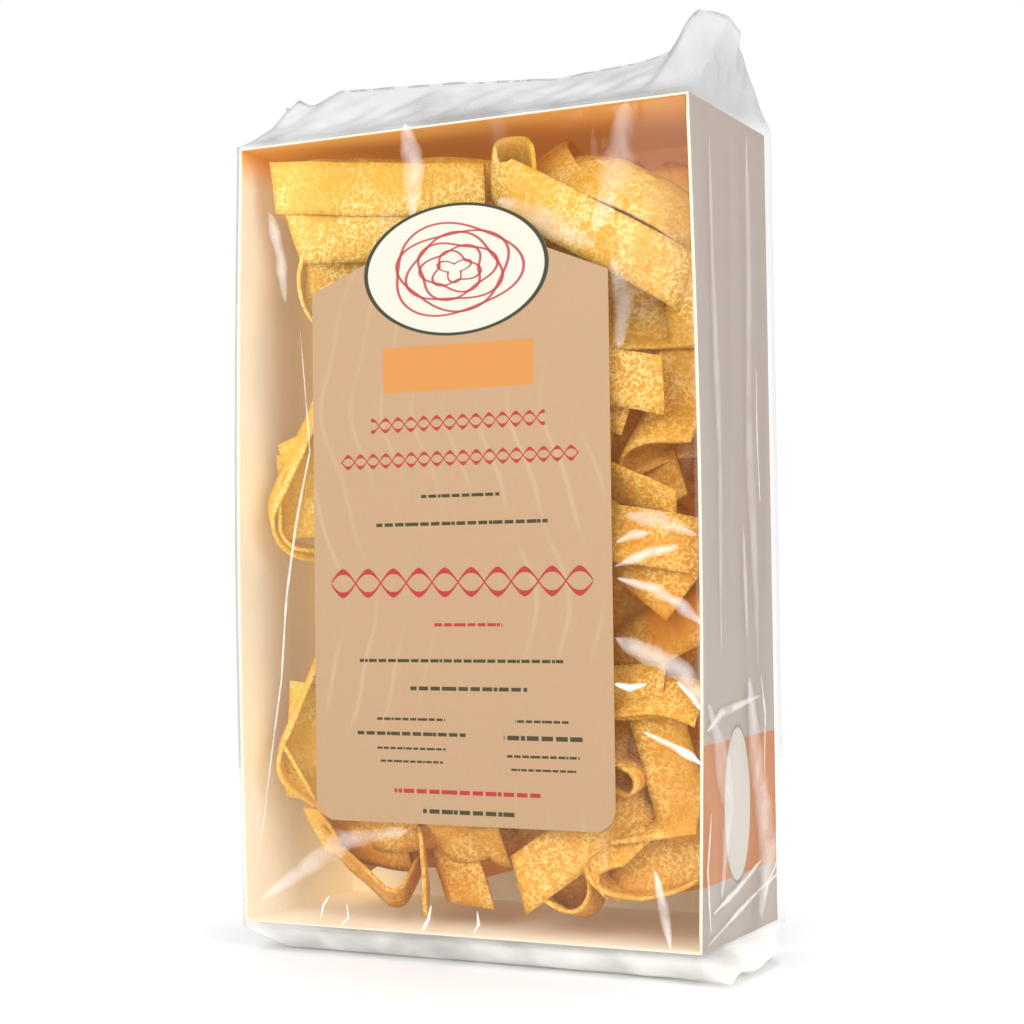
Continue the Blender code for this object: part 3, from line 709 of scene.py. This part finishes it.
def tray():
    """An upright open box of card whose side walls bow out towards the front."""
    bm = bmesh.new()
    bmesh.ops.create_cube(bm, size=1)
    size = Matrix.Diagonal((TRAY_WIDTH * MM, TRAY_DEPTH * MM, TRAY_HEIGHT * MM, 1))
    lift = Matrix.Translation((0, 0, (TRAY_LIFT + TRAY_HEIGHT / 2) * MM))
    bmesh.ops.transform(bm, matrix=lift @ size, verts=bm.verts)
    front = [face for face in bm.faces if face.normal.y < -0.5]
    bmesh.ops.delete(bm, geom=front, context="FACES_ONLY")
    for axis, cuts in ((2, TRAY_HEIGHT_CUTS), (1, TRAY_DEPTH_CUTS)):
        chosen = [edge for edge in bm.edges
                  if abs(edge.verts[0].co[axis] - edge.verts[1].co[axis]) > MM]
        bmesh.ops.subdivide_edges(bm, edges=chosen, cuts=cuts, use_grid_fill=True)
    for corner in bm.verts:
        out = bulge(corner.co.y / MM, corner.co.z / MM)
        corner.co.x += copysign(out * MM, corner.co.x)
    made = add_piece("card_tray", bm, card_finish(), smooth=False)
    wall = made.modifiers.new("card", "SOLIDIFY")
    wall.thickness = CARD * MM
    wall.offset = -1
    rounding = made.modifiers.new("worn_edges", "BEVEL")
    rounding.width = CARD_ROUNDING * MM
    rounding.segments = 2
    rounding.limit_method = "ANGLE"
    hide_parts("tray")


FILM_GAP = 0.55
FRONT_COLUMNS = 72
SIDE_COLUMNS = 30
BACK_COLUMNS = 48
BASE_ROWS = 12
WALL_ROWS = 80
SEAL_ROWS = 18
BASE_HALF = (62, 22)
FLOOR_EAR = 18.5
FLOOR_EAR_FRONT = 7.5
FLOOR_EAR_START = 0.8
FLOOR_EAR_BACK = (0.3, 0.95)
FLOOR_EAR_CORNER = 0.4
FLOOR_EAR_LOWNESS = 0.3
SEAL_SETBACK = -4
SEAL_RISE = 1.25

# The seal's edge above the tray, from left to right, as x and height above the tray's floor,
# and the tips of the folded ends.
RIDGE = ((-76.6, 269), (-74, 272), (-68.7, 268.6), (-57.6, 273), (-39, 271.8), (-15, 270.5),
         (22, 267.2), (52.5, 268.8), (63, 271), (66, 279), (70.4, 282.6), (76, 281), (80.5, 279.1))
RIGHT_FIN = (84.2, 273.7)
LEFT_FIN = (-79, 270)


def along_line(points, share):
    """The place that lies this share of the way along a line of points, by their x."""
    x = points[0][0] + (points[-1][0] - points[0][0]) * share
    for (x0, z0), (x1, z1) in zip(points, points[1:]):
        if x <= x1 or x1 == points[-1][0]:
            return x, z0 + (z1 - z0) * (x - x0) / (x1 - x0)


def folds(place, spacing, seed):
    """A relief of straight creases in several directions, from about -1 to 1."""
    total = 0
    for number in range(4):
        way = Vector((sin(seed + 1.7 * number), cos(seed * 1.3 + 2.9 * number),
                      sin(seed * 0.7 + 4.1 * number))).normalized()
        bend = noise.noise(place / (spacing * 3) + Vector((seed, number, 0)))
        turn = place.dot(way) / (spacing * (0.7 + 0.35 * number)) + seed + number * 0.37 + bend
        total += (abs(turn % 2 - 1) * 2 - 1) * (1 - 0.15 * number)
    return total / 3


def film_ring():
    """Places round the wrap from the middle of its back, as parts of half width and depth."""
    half = BACK_COLUMNS // 2
    ring = [(n / half, 1) for n in range(half)]
    ring += [(1, 1 - 2 * n / SIDE_COLUMNS) for n in range(SIDE_COLUMNS)]
    ring += [(1 - 2 * n / FRONT_COLUMNS, -1) for n in range(FRONT_COLUMNS)]
    ring += [(-1, -1 + 2 * n / SIDE_COLUMNS) for n in range(SIDE_COLUMNS)]
    ring += [(-1 + n / half, 1) for n in range(half + 1)]
    return ring


def film_wall(across, along, rise):
    """The wrap round the tray. rise is the part of the tray's height."""
    z = TRAY_LIFT - FILM_GAP + rise * (TRAY_HEIGHT + 2 * FILM_GAP)
    x, y = across * (TRAY_WIDTH / 2 + FILM_GAP), along * (TRAY_DEPTH / 2 + FILM_GAP)
    x += copysign(bulge(y, z), across) * abs(across) ** 3
    spot = Vector((x, y, z))
    if abs(along) == 1:
        free = 1 - abs(across) ** 6
        slack = 0.22 + 0.2 * folds(spot, 38, 2.0) + 0.12 * noise.noise(spot / 9)
        y += copysign(max(slack, 0.0) * free, along)
    if abs(across) == 1:
        free = 1 - abs(along) ** 8
        slack = 0.5 + 0.7 * folds(spot, 30, 5.0) + 1.1 * smooth_rise(along, -0.2, 0.9)
        x += copysign(max(slack, 0.0) * free, across)
    if across == 1:
        x += 1.6 * smooth_rise(along, 0.3, 1)
    return Vector((x, y, z))


def film_base(across, along, level):
    """The gathered foot of the wrap. level is 0 on the floor and 1 at the tray."""
    tuck = 1 - level ** 0.5
    top = film_wall(across, along, 0)
    x = top.x - across * tuck * (TRAY_WIDTH / 2 - BASE_HALF[0])
    y = top.y - along * tuck * (TRAY_DEPTH / 2 - BASE_HALF[1])
    z = level * (TRAY_LIFT - FILM_GAP)
    middle = 4 * level * (1 - level)
    flare = level ** FLOOR_EAR_LOWNESS
    ear = smooth_rise(across, FLOOR_EAR_START, 1) * 4 * flare * (1 - flare)
    x += FLOOR_EAR * ear * (1 - smooth_rise(along, *FLOOR_EAR_BACK))
    y -= FLOOR_EAR_FRONT * ear * smooth_rise(-along, FLOOR_EAR_CORNER, 1)
    spot = Vector((x, y, z))
    crumple = 1.1 * folds(spot, 9, 1.0) * min(1, middle * 1.4)
    x += crumple * (0.6 + abs(across)) * (1 - 0.5 * ear)
    y += crumple * 0.8 * abs(along) * (1 - 0.5 * ear)
    z += 0.8 * folds(spot, 12, 8.0) * middle + 2.6 * ear * (folds(spot, 9, 2.0) + 0.5)
    z = max(z, 0.03 * level)
    return Vector((x, y, z))


def film_seal(across, along, close):
    """The wrap's end above the tray. close is 0 at the tray's top and 1 at the sealed edge."""
    low = film_wall(across, along, 1)
    x, height = along_line(RIDGE, (across + 1) / 2)
    if abs(across) == 1:
        fin = RIGHT_FIN if across > 0 else LEFT_FIN
        out = 1 - abs(along)
        x += (fin[0] - x) * out
        height += (fin[1] - height) * out
    high = Vector((x, SEAL_SETBACK, height + TRAY_LIFT))
    spot = low.lerp(high, close)
    spot.z = low.z + (high.z - low.z) * close ** SEAL_RISE
    gather = sin(pi * min(close * 1.1, 1)) + 0.25 * close
    relief = folds(spot, 13, 3.0) * 1.6 + folds(spot, 5, 6.0) * 0.5
    spot.y += copysign(relief * gather, along if along else 1) * min(1, 3 * abs(1 - close))
    spot.z += 0.9 * gather * folds(spot + Vector((7, 0, 0)), 8, 4.0)
    spot.x += copysign(1.0, across) * abs(across) ** 8 * gather * folds(spot, 7, 9.0)
    return spot


def film_finish():
    """Clear film: a glossy skin that hazes to white where it is gathered."""
    finish = Finish("clear film")
    height = finish.z - TRAY_LIFT
    gathered = height.rise(TRAY_HEIGHT - 1, TRAY_HEIGHT + 8).over(height.rise(1.5, -3))
    streaks = finish.grain(70, detail=2.0, place=finish.stretched((1, 1, 0.3), (0.4, 0.3, 0)))
    crumple = finish.grain(42, detail=2.0).rise(0.3, 0.7)
    side = finish.x.rise(TRAY_WIDTH / 2, TRAY_WIDTH / 2 + 0.5)
    # Painted sheen: soft upright bands on the film's sides, where it would reflect a light.
    painted_sheen_bands = finish.grain(45, detail=1.0, place=finish.stretched((0.3, 1, 0.12))).rise(0.4, 0.66)
    haze_and_painted_sheen = 0.01 + gathered * (crumple * 0.35 + 0.32) + side * (0.03 + painted_sheen_bands * 0.07)
    # Pale streaks on the front pane: a whitish haze and a painted sheen along its faint creases.
    front = finish.y.rise(-TRAY_DEPTH / 2 + 0.2, -TRAY_DEPTH / 2 - 0.1) * (1 - gathered)
    haze_and_painted_sheen = haze_and_painted_sheen + front * streaks.rise(0.62, 0.8) * 0.10
    relief = finish.grain(90, detail=2.0) + streaks
    normal = finish.bump(relief, 0.5, 0.5)
    facing = finish.node("ShaderNodeLayerWeight", {"Blend": 0.5, "Normal": normal},
                         output="Facing")
    gloss = (facing ** 5 * 0.45 + 0.026) * (1 - side * 0.65)
    clear = finish.node("ShaderNodeBsdfTransparent")
    shine = finish.node("ShaderNodeBsdfGlossy", {"Roughness": 0.07, "Normal": normal})
    skin = finish.node("ShaderNodeMixShader", (gloss, clear, shine))
    # Painted light: the milky film is lighter towards the bottom, where the tucked foot gets little
    # light, and the foot gives off a painted glow.
    milky_and_painted_light = finish.mix(height.rise(0, TRAY_HEIGHT), linear(238, 236, 230), linear(190, 191, 192))
    painted_glow = finish.mix(height.rise(2, -2), linear(0, 0, 0), linear(128, 127, 123))
    white = finish.surface(Base_Color=milky_and_painted_light, Roughness=0.35, Normal=normal,
                           Emission_Color=painted_glow, Emission_Strength=1.0)
    return finish.done(finish.node("ShaderNodeMixShader", (haze_and_painted_sheen.under(0.95), skin, white)))


def film():
    """The wrap as one closed bag of thin film."""
    ring = film_ring()
    rows = BASE_ROWS + WALL_ROWS + SEAL_ROWS
    bm = bmesh.new()

    def place(column, row):
        across, along = ring[column]
        if row < BASE_ROWS:
            return film_base(across, along, row / BASE_ROWS)
        if row <= BASE_ROWS + WALL_ROWS:
            return film_wall(across, along, (row - BASE_ROWS) / WALL_ROWS)
        return film_seal(across, along, (row - BASE_ROWS - WALL_ROWS) / SEAL_ROWS)

    sheet(bm, len(ring) - 1, rows, place)
    bmesh.ops.remove_doubles(bm, verts=bm.verts, dist=0.00004)
    bmesh.ops.holes_fill(bm, edges=[edge for edge in bm.edges if edge.is_boundary])
    bmesh.ops.recalc_face_normals(bm, faces=bm.faces)
    bmesh.ops.triangulate(bm, faces=[face for face in bm.faces if len(face.verts) > 4])
    made = add_piece("wrap", bm, film_finish())
    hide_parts("film")


CREASE_COLUMNS = 24
CREASE_ROWS = 8
CREASE_LIFT = 0.1
CREASE_CAMBER = 0.2

# Painted highlights on creases of the film that catch the light, as half width, strength and a line
# of points. On the front and back a point is x and height above the tray's floor, on the sides y
# and height.
FRONT_CREASES = (
    (0.55, 0.6, ((-54.6, 189), (-51.2, 150.6), (-56.3, 128.5), (-60.4, 103), (-62.5, 77.5),
                (-73, 14.4))),
    (3.6, 0.3, ((-72, 7.1), (-40.7, 27.7), (-17.3, 31.8))),
    (1.6, 0.5, ((64.1, 23.7), (66.5, 13.8), (69, 1))),
    (3.8, 0.38, ((52.5, 91), (63.6, 86), (72.9, 81.2), (78.6, 72))),
    (1.5, 0.9, ((61, 63.6), (70, 59.6), (75.5, 56.7), (78.4, 54.4))),
    (2.4, 0.45, ((53, 108.6), (63.9, 105.6), (72, 100.6), (78.6, 95))),
    (1.7, 0.45, ((52.5, 112), (63.5, 116), (72, 117.4))),
    (1.6, 0.4, ((53, 119), (58, 121.2), (63, 121.6))),
    (3.0, 0.3, ((56, 127), (66, 125.6), (77, 120.6))),
    (0.6, 0.9, ((-49.5, 2.6), (-48.3, 6.9), (-45.8, 10.4))),
    (0.5, 0.9, ((-42, 1), (-39.2, 3.5), (-39.6, 8))),
    (0.8, 0.8, ((-13, 1), (-10.6, 5.1), (-9.6, 9.4))),
    (0.6, 0.8, ((4.6, 1.4), (6.6, 4.4), (6.2, 8.6))),
    (4.2, 0.32, ((-16, 251), (-13, 238), (-13.5, 221))),
    (2.4, 0.35, ((-66, 228), (-62, 214), (-60, 198))),
    (4.5, 0.2, ((16, 224), (30, 217), (48, 207))),
    (6.0, 0.18, ((59, 249), (56, 232), (49, 212))),
    (3.2, 0.2, ((53.4, 203), (57, 190), (55, 176))),
    (1.2, 0.8, ((52, 77.5), (57, 76.4), (62, 77.6))),
    (0.9, 0.9, ((71, 78.4), (75.4, 74), (78.2, 70))),
)
RIGHT_CREASES = (
    (1.4, 0.55, ((-27, 11), (-8, 15), (13, 21.5))),
    (1.1, 0.6, ((-30.5, 2.6), (0, 10), (30, 17))),
    (1.6, 0.5, ((-32, 64), (-20, 68.5), (14, 72))),
    (5.5, 0.3, ((-31, 72), (-22, 60), (-14, 40), (-20, 14))),
    (7.0, 0.34, ((4, 78), (10, 52), (19, 24), (12, 4))),
    (2.6, 0.2, ((-20, 240), (-21, 160), (-19, 84))),
    (3.4, 0.2, ((11, 246), (9, 150), (12, 80))),
    (1.6, 0.3, ((2, 124), (2.6, 108), (3, 90))),
    (0.5, 0.75, ((24, 6), (25, 90), (26, 205))),
    (0.4, 0.6, ((15.6, 172), (15.4, 150), (15.8, 132))),
    (1.0, 0.6, ((14, 78), (17, 66), (16, 48))),
    (0.8, 0.55, ((-29, 40), (-31.5, 24), (-29, 6))),
    (0.9, 0.5, ((13, 3), (17, 13), (27, 22))),
)
LEFT_CREASES = (
    (3.0, 0.2, ((-16, 244), (-18, 170), (-15, 96))),
    (2.2, 0.24, ((14, 230), (12, 140), (15, 60))),
    (1.2, 0.5, ((-30, 6), (-6, 14), (20, 24))),
    (1.4, 0.45, ((30, 228), (6, 238), (-24, 242))),
    (6.0, 0.26, ((-24, 80), (-12, 48), (4, 20))),
    (0.5, 0.7, ((-25, 200), (-26, 110), (-24, 18))),
    (0.9, 0.5, ((28, 4), (18, 16), (14, 34))),
)
BACK_CREASES = (
    (7.0, 0.34, ((0, 1), (0.6, 125), (0, 249))),
    (0.5, 0.85, ((6.4, 1), (6.8, 120), (6.2, 249))),
    (0.4, 0.6, ((-6.6, 2), (-6.2, 130), (-6.8, 248))),
    (1.3, 0.4, ((-72, 14), (-40, 9), (-9, 4))),
    (1.6, 0.4, ((72, 30), (44, 16), (10, 6))),
    (2.6, 0.22, ((-60, 240), (-52, 190), (-56, 120))),
    (3.4, 0.2, ((50, 236), (56, 160), (48, 96))),
    (1.2, 0.45, ((10, 244), (40, 239), (74, 232))),
    (1.2, 0.45, ((-10, 245), (-38, 243), (-73, 236))),
    (4.5, 0.22, ((-66, 96), (-48, 60), (-52, 26))),
    (1.0, 0.5, ((60, 70), (66, 50), (74, 38))),
)


def crease_glint_finish():
    """Painted highlight: white where the film is creased, broken up and fading out at the strip's
    sides.
    """
    finish = Finish("painted crease glints")
    fade = finish.node("ShaderNodeAttribute", output="Fac", attribute_name="fade")
    broken = finish.grain(120, detail=2.0).rise(0.3, 0.6) * 0.5 + 0.5
    white = finish.surface(Base_Color=linear(244, 240, 236), Roughness=0.3)
    clear = finish.node("ShaderNodeBsdfTransparent")
    whole = (fade * broken).under(0.92)
    return finish.done(finish.node("ShaderNodeMixShader", (whole, clear, white)))


def on_film(wall, spot, lift):
    """A point over one wall of the film, lifted off it. spot is x or y, and the height."""
    outwards = 1 if wall in ("right", "back") else -1
    rise = (spot.y + FILM_GAP) / (TRAY_HEIGHT + 2 * FILM_GAP)
    if wall in ("left", "right"):
        along = spot.x / (TRAY_DEPTH / 2 + FILM_GAP)
        return film_wall(outwards, along, rise) + Vector((outwards * lift, 0, 0))
    across = spot.x / (TRAY_WIDTH / 2 + FILM_GAP)
    return film_wall(across, outwards, rise) + Vector((0, outwards * lift, 0))


def crease(bm, fade, wall, half_width, strength, line):
    """One strip along a line of points, which tapers at its ends and fades at its sides."""
    points = [Vector(point) for point in line]
    way = (points[-1] - points[0]).normalized()

    def place(column, row):
        side = 2 * row / CREASE_ROWS - 1
        share = column / CREASE_COLUMNS * (len(points) - 1)
        first = min(int(share), len(points) - 2)
        part = share - first
        part = part * part * (3 - 2 * part) * 0.3 + part * 0.7
        spot = points[first].lerp(points[first + 1], part)
        taper = sin(pi * column / CREASE_COLUMNS) ** 0.6
        wobble = 1 + 0.5 * noise.noise(Vector((spot.x / 5, spot.y / 5, half_width)))
        spot = spot + Vector((-way.y, way.x)) * (half_width * taper * wobble * side)
        return on_film(wall, spot, CREASE_LIFT + CREASE_CAMBER * (1 - abs(side)))

    def mark(corner, row):
        corner[fade] = strength * (1 - (2 * row / CREASE_ROWS - 1) ** 2)

    sheet(bm, CREASE_COLUMNS, CREASE_ROWS, place, mark)


def creases():
    """Soft-edged strips of painted highlight that lie on the film where it is folded and shines."""
    bm = bmesh.new()
    fade = bm.verts.layers.float.new("fade")
    walls = {"front": FRONT_CREASES, "right": RIGHT_CREASES, "left": LEFT_CREASES,
             "back": BACK_CREASES}
    for wall, lines in walls.items():
        for half_width, strength, line in lines:
            crease(bm, fade, wall, half_width, strength, line)
    add_piece("film_crease_glints", bm, crease_glint_finish())


LABEL_STANDOFF = 1.6
LABEL_THICKNESS = 0.3
LABEL_BOTTOM = 34.0
LABEL_SHOULDER = 200.0
LABEL_NECK = 208.0
LABEL_HALF_WIDTH = 51.3
LABEL_CORNER = 7.0
LABEL_SHIFT = 1.3
MEDALLION_HEIGHT = 204.0
MEDALLION_RADII = (32.1, 20.4)
CORNER_STEPS = 10
ARC_STEPS = 24

# The printed block, between two places across the label and two heights.
BLOCK_SIDES = (-25.5, 26.5)
BLOCK_ENDS = (167, 181)

# Printed waves as height, half length, swing and half thickness, and broken bars as height,
# middle, half length, half thickness and ink.
STRANDS = 7
WAVES = ((157, 30, 2.6, 0.62), (146, 41, 2.6, 0.62), (108, 45, 5.2, 0.95))
BARS = ((134.5, 1, 13.5, 0.5, "olive"), (126, 1, 29.5, 0.55, "olive"), (95, 3, 12, 0.5, "red"),
        (84, 0, 35, 0.5, "olive"), (75.5, 3, 20, 0.6, "olive"), (66, -17, 12, 0.4, "olive"),
        (61.5, -17, 19, 0.55, "olive"), (57, -17, 12, 0.35, "olive"), (53, -17, 11, 0.35, "olive"),
        (66, 28, 9, 0.4, "olive"), (61, 28, 13, 0.7, "olive"), (55.5, 28, 12, 0.4, "olive"),
        (51.5, 28, 11, 0.35, "olive"), (44, 2, 25, 0.65, "red"), (38, 3, 16, 0.65, "olive"))


def label_finish():
    """Tan paper with plain printed shapes: a medallion with a coiled nest, a block and waves."""
    finish = Finish("label paper")
    x, height = finish.x - LABEL_SHIFT, finish.z - TRAY_LIFT
    fibre = finish.grain(1200, detail=3.0)
    paper = finish.mix(fibre.rise(0.3, 0.8) * 0.35, linear(163, 132, 99), linear(169, 139, 106))
    sway = x + (height / 21).maths("SINE") * 9 + (height / 6).maths("SINE") * 1.2
    stalks = abs((sway / 11).maths("FRACT") - 0.5).rise(0.1, 0.03)
    fade = finish.grain(22, detail=1.0).rise(0.45, 0.62)
    paper = finish.mix(stalks * fade * 0.3, paper, linear(186, 162, 134))
    red, olive = linear(158, 40, 38), linear(62, 56, 26)
    wide, tall = MEDALLION_RADII
    off_x, off_z = x, height - MEDALLION_HEIGHT
    radius = ((off_x / wide) ** 2 + (off_z / tall) ** 2) ** 0.5
    block = x.within(*BLOCK_SIDES, 0.15) * height.within(*BLOCK_ENDS, 0.15)
    colour = finish.mix(block, paper, linear(184, 122, 56))
    turn = finish.node("ShaderNodeMath", (off_z / tall, off_x / wide), operation="ARCTAN2")
    colour = finish.mix(radius.rise(1.0, 0.985), colour, linear(192, 189, 176))
    colour = finish.mix(radius.within(0.955, 1.0, 0.006), colour, linear(54, 54, 32))
    for number in range(STRANDS):
        lobes = turn * 3 + number * 2.4
        strand = lobes.maths("SINE") * 0.06 + (0.14 + 0.09 * number)
        stroke = abs(radius - strand).rise(0.020, 0.012)
        colour = finish.mix(stroke * 0.9, colour, red)
    for level, half, swing, thick in WAVES:
        turned = x * (1.8 / swing)
        pen = abs(turned.maths("COSINE")) * (-0.6 * thick) + thick
        off = abs(height - level)
        stroke = (abs(off - abs(turned.maths("SINE")) * (swing * 0.7)) - pen).rise(0.12, -0.08)
        colour = finish.mix(stroke * abs(x).rise(half + 0.2, half), colour, red)
    for level, middle, half, thick, ink in BARS:
        gaps = (x * (1.9 / thick)).maths("SINE") + (x * (0.83 / thick) + level).maths("SINE")
        stroke = gaps.rise(-1.1, -1.0) * abs(height - level).rise(thick + 0.06, thick - 0.06)
        inked = red if ink == "red" else olive
        colour = finish.mix(stroke * abs(x - middle).rise(half + 0.1, half), colour, inked)
    shader = finish.surface(Base_Color=colour, Roughness=0.55, Specular_IOR_Level=0.4,
                            Normal=finish.bump(fibre, 0.02))
    return finish.done(shader)


def label():
    """A flat paper panel with sloped shoulders under a round medallion."""
    corner = [(LABEL_HALF_WIDTH - LABEL_CORNER + LABEL_CORNER * sin(a),
               LABEL_BOTTOM + LABEL_CORNER - LABEL_CORNER * cos(a))
              for a in [radians(90 * n / CORNER_STEPS) for n in range(CORNER_STEPS + 1)]]
    wide, tall = MEDALLION_RADII
    begin = asin((LABEL_NECK - MEDALLION_HEIGHT) / tall)
    arc = [(wide * cos(a), MEDALLION_HEIGHT + tall * sin(a))
           for a in [begin + (pi / 2 - begin) * n / ARC_STEPS for n in range(ARC_STEPS + 1)]]
    right = corner + [(LABEL_HALF_WIDTH, LABEL_SHOULDER)] + arc
    left = [(-x, z) for x, z in reversed(right[:-1])]
    bm = bmesh.new()
    front = -TRAY_DEPTH / 2 - LABEL_STANDOFF
    ring = [bm.verts.new(Vector((x + LABEL_SHIFT, front, z + TRAY_LIFT)) * MM)
            for x, z in right + left]
    face = bmesh.ops.contextual_create(bm, geom=ring)["faces"]
    bmesh.ops.triangulate(bm, faces=face)
    bmesh.ops.recalc_face_normals(bm, faces=bm.faces)
    made = add_piece("paper_label", bm, label_finish(), smooth=False)
    wall = made.modifiers.new("paper", "SOLIDIFY")
    wall.thickness = LABEL_THICKNESS * MM
    wall.offset = -1
    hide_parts("label")


# The view of the photo. The place is in millimetres and the turns are in radians.
CAMERA_PLACE = Vector((289.417, -576.1005, 116.1836))
CAMERA_YAW = 0.4618
CAMERA_PITCH = 0.0359
CAMERA_ROLL = -0.0127
CAMERA_LENS = 70.603
CAMERA_SENSOR = 36


def camera():
    """The camera, turned by its yaw, then its pitch, then its roll."""
    yaw, pitch, roll = CAMERA_YAW, CAMERA_PITCH, CAMERA_ROLL
    forward = Vector((-sin(yaw) * cos(pitch), cos(yaw) * cos(pitch), sin(pitch)))
    level = Vector((cos(yaw), sin(yaw), 0))
    upright = level.cross(forward)
    right = level * cos(roll) + upright * sin(roll)
    up = upright * cos(roll) - level * sin(roll)
    made = bpy.data.objects.new("camera", bpy.data.cameras.new("camera"))
    made.data.lens = CAMERA_LENS
    made.data.sensor_width = CAMERA_SENSOR
    turned = Matrix((right, up, -forward)).transposed().to_4x4()
    made.matrix_world = Matrix.Translation(CAMERA_PLACE * MM) @ turned
    bpy.context.scene.collection.objects.link(made)
    bpy.context.scene.camera = made


# The white surroundings' strength, as light on surfaces and as seen in a shiny one.
AMBIENT = 1.38
SHEEN = 0.2
FLOOR_RADIUS = 0.7

# Each soft light has a place in metres, a size and a power.
LIGHTS = {
    "key": ((-0.13, -1.25, 0.72), 0.7, 5.4),
    "left": ((-1.25, -0.8, 0.35), 0.6, 2.2),
    "right": ((1.25, -0.75, 0.5), 0.7, 8.4),
    "overhead": ((0, 0.1, 1.7), 1.8, 8.4),
}
LIGHTS_TARGET = (0, 0, 0.13)


def softbox(name, place, target, size, power):
    """A square soft light at a place, in metres, turned to its target."""
    light = bpy.data.lights.new(name, "AREA")
    light.size = size
    light.energy = power
    made = bpy.data.objects.new(name, light)
    made.location = place
    made.rotation_euler = (Vector(target) - Vector(place)).to_track_quat("-Z", "Y").to_euler()
    bpy.context.scene.collection.objects.link(made)


def studio():
    """A white floor under soft lights."""
    finish = Finish("white floor")
    tone = finish.mix(finish.grain(3), linear(224, 224, 225), linear(226, 226, 227))
    material = finish.done(finish.surface(Base_Color=tone, Roughness=0.6))
    bm = bmesh.new()
    bmesh.ops.create_circle(bm, cap_ends=True, segments=96, radius=FLOOR_RADIUS)
    mesh = bpy.data.meshes.new("floor")
    bm.to_mesh(mesh)
    bm.free()
    mesh.materials.append(material)
    floor = bpy.data.objects.new("floor", mesh)
    bpy.context.scene.collection.objects.link(floor)
    world = bpy.data.worlds.new("studio")
    world.use_nodes = True
    nodes, links = world.node_tree.nodes, world.node_tree.links
    path, around, backdrop = [nodes.new("ShaderNode" + kind)
                              for kind in ("LightPath", "MapRange", "MapRange")]
    around.inputs["To Min"].default_value = AMBIENT
    around.inputs["To Max"].default_value = SHEEN
    links.new(path.outputs["Is Glossy Ray"], around.inputs[0])
    links.new(path.outputs["Is Camera Ray"], backdrop.inputs[0])
    links.new(around.outputs[0], backdrop.inputs["To Min"])
    links.new(backdrop.outputs[0], nodes["Background"].inputs["Strength"])
    nodes["Background"].inputs["Color"].default_value = (1, 1, 1, 1)
    bpy.context.scene.world = world
    for name, (place, size, power) in LIGHTS.items():
        softbox(name, place, LIGHTS_TARGET, size, power)
    bpy.context.scene.view_settings.view_transform = "Standard"


camera()
studio()
tray()
pasta = pasta_finish()
inner = core_finish()
for nest_name, nest_strips in NESTS.items():
    nest(nest_name, nest_strips, pasta, inner)
film()
creases()
label()
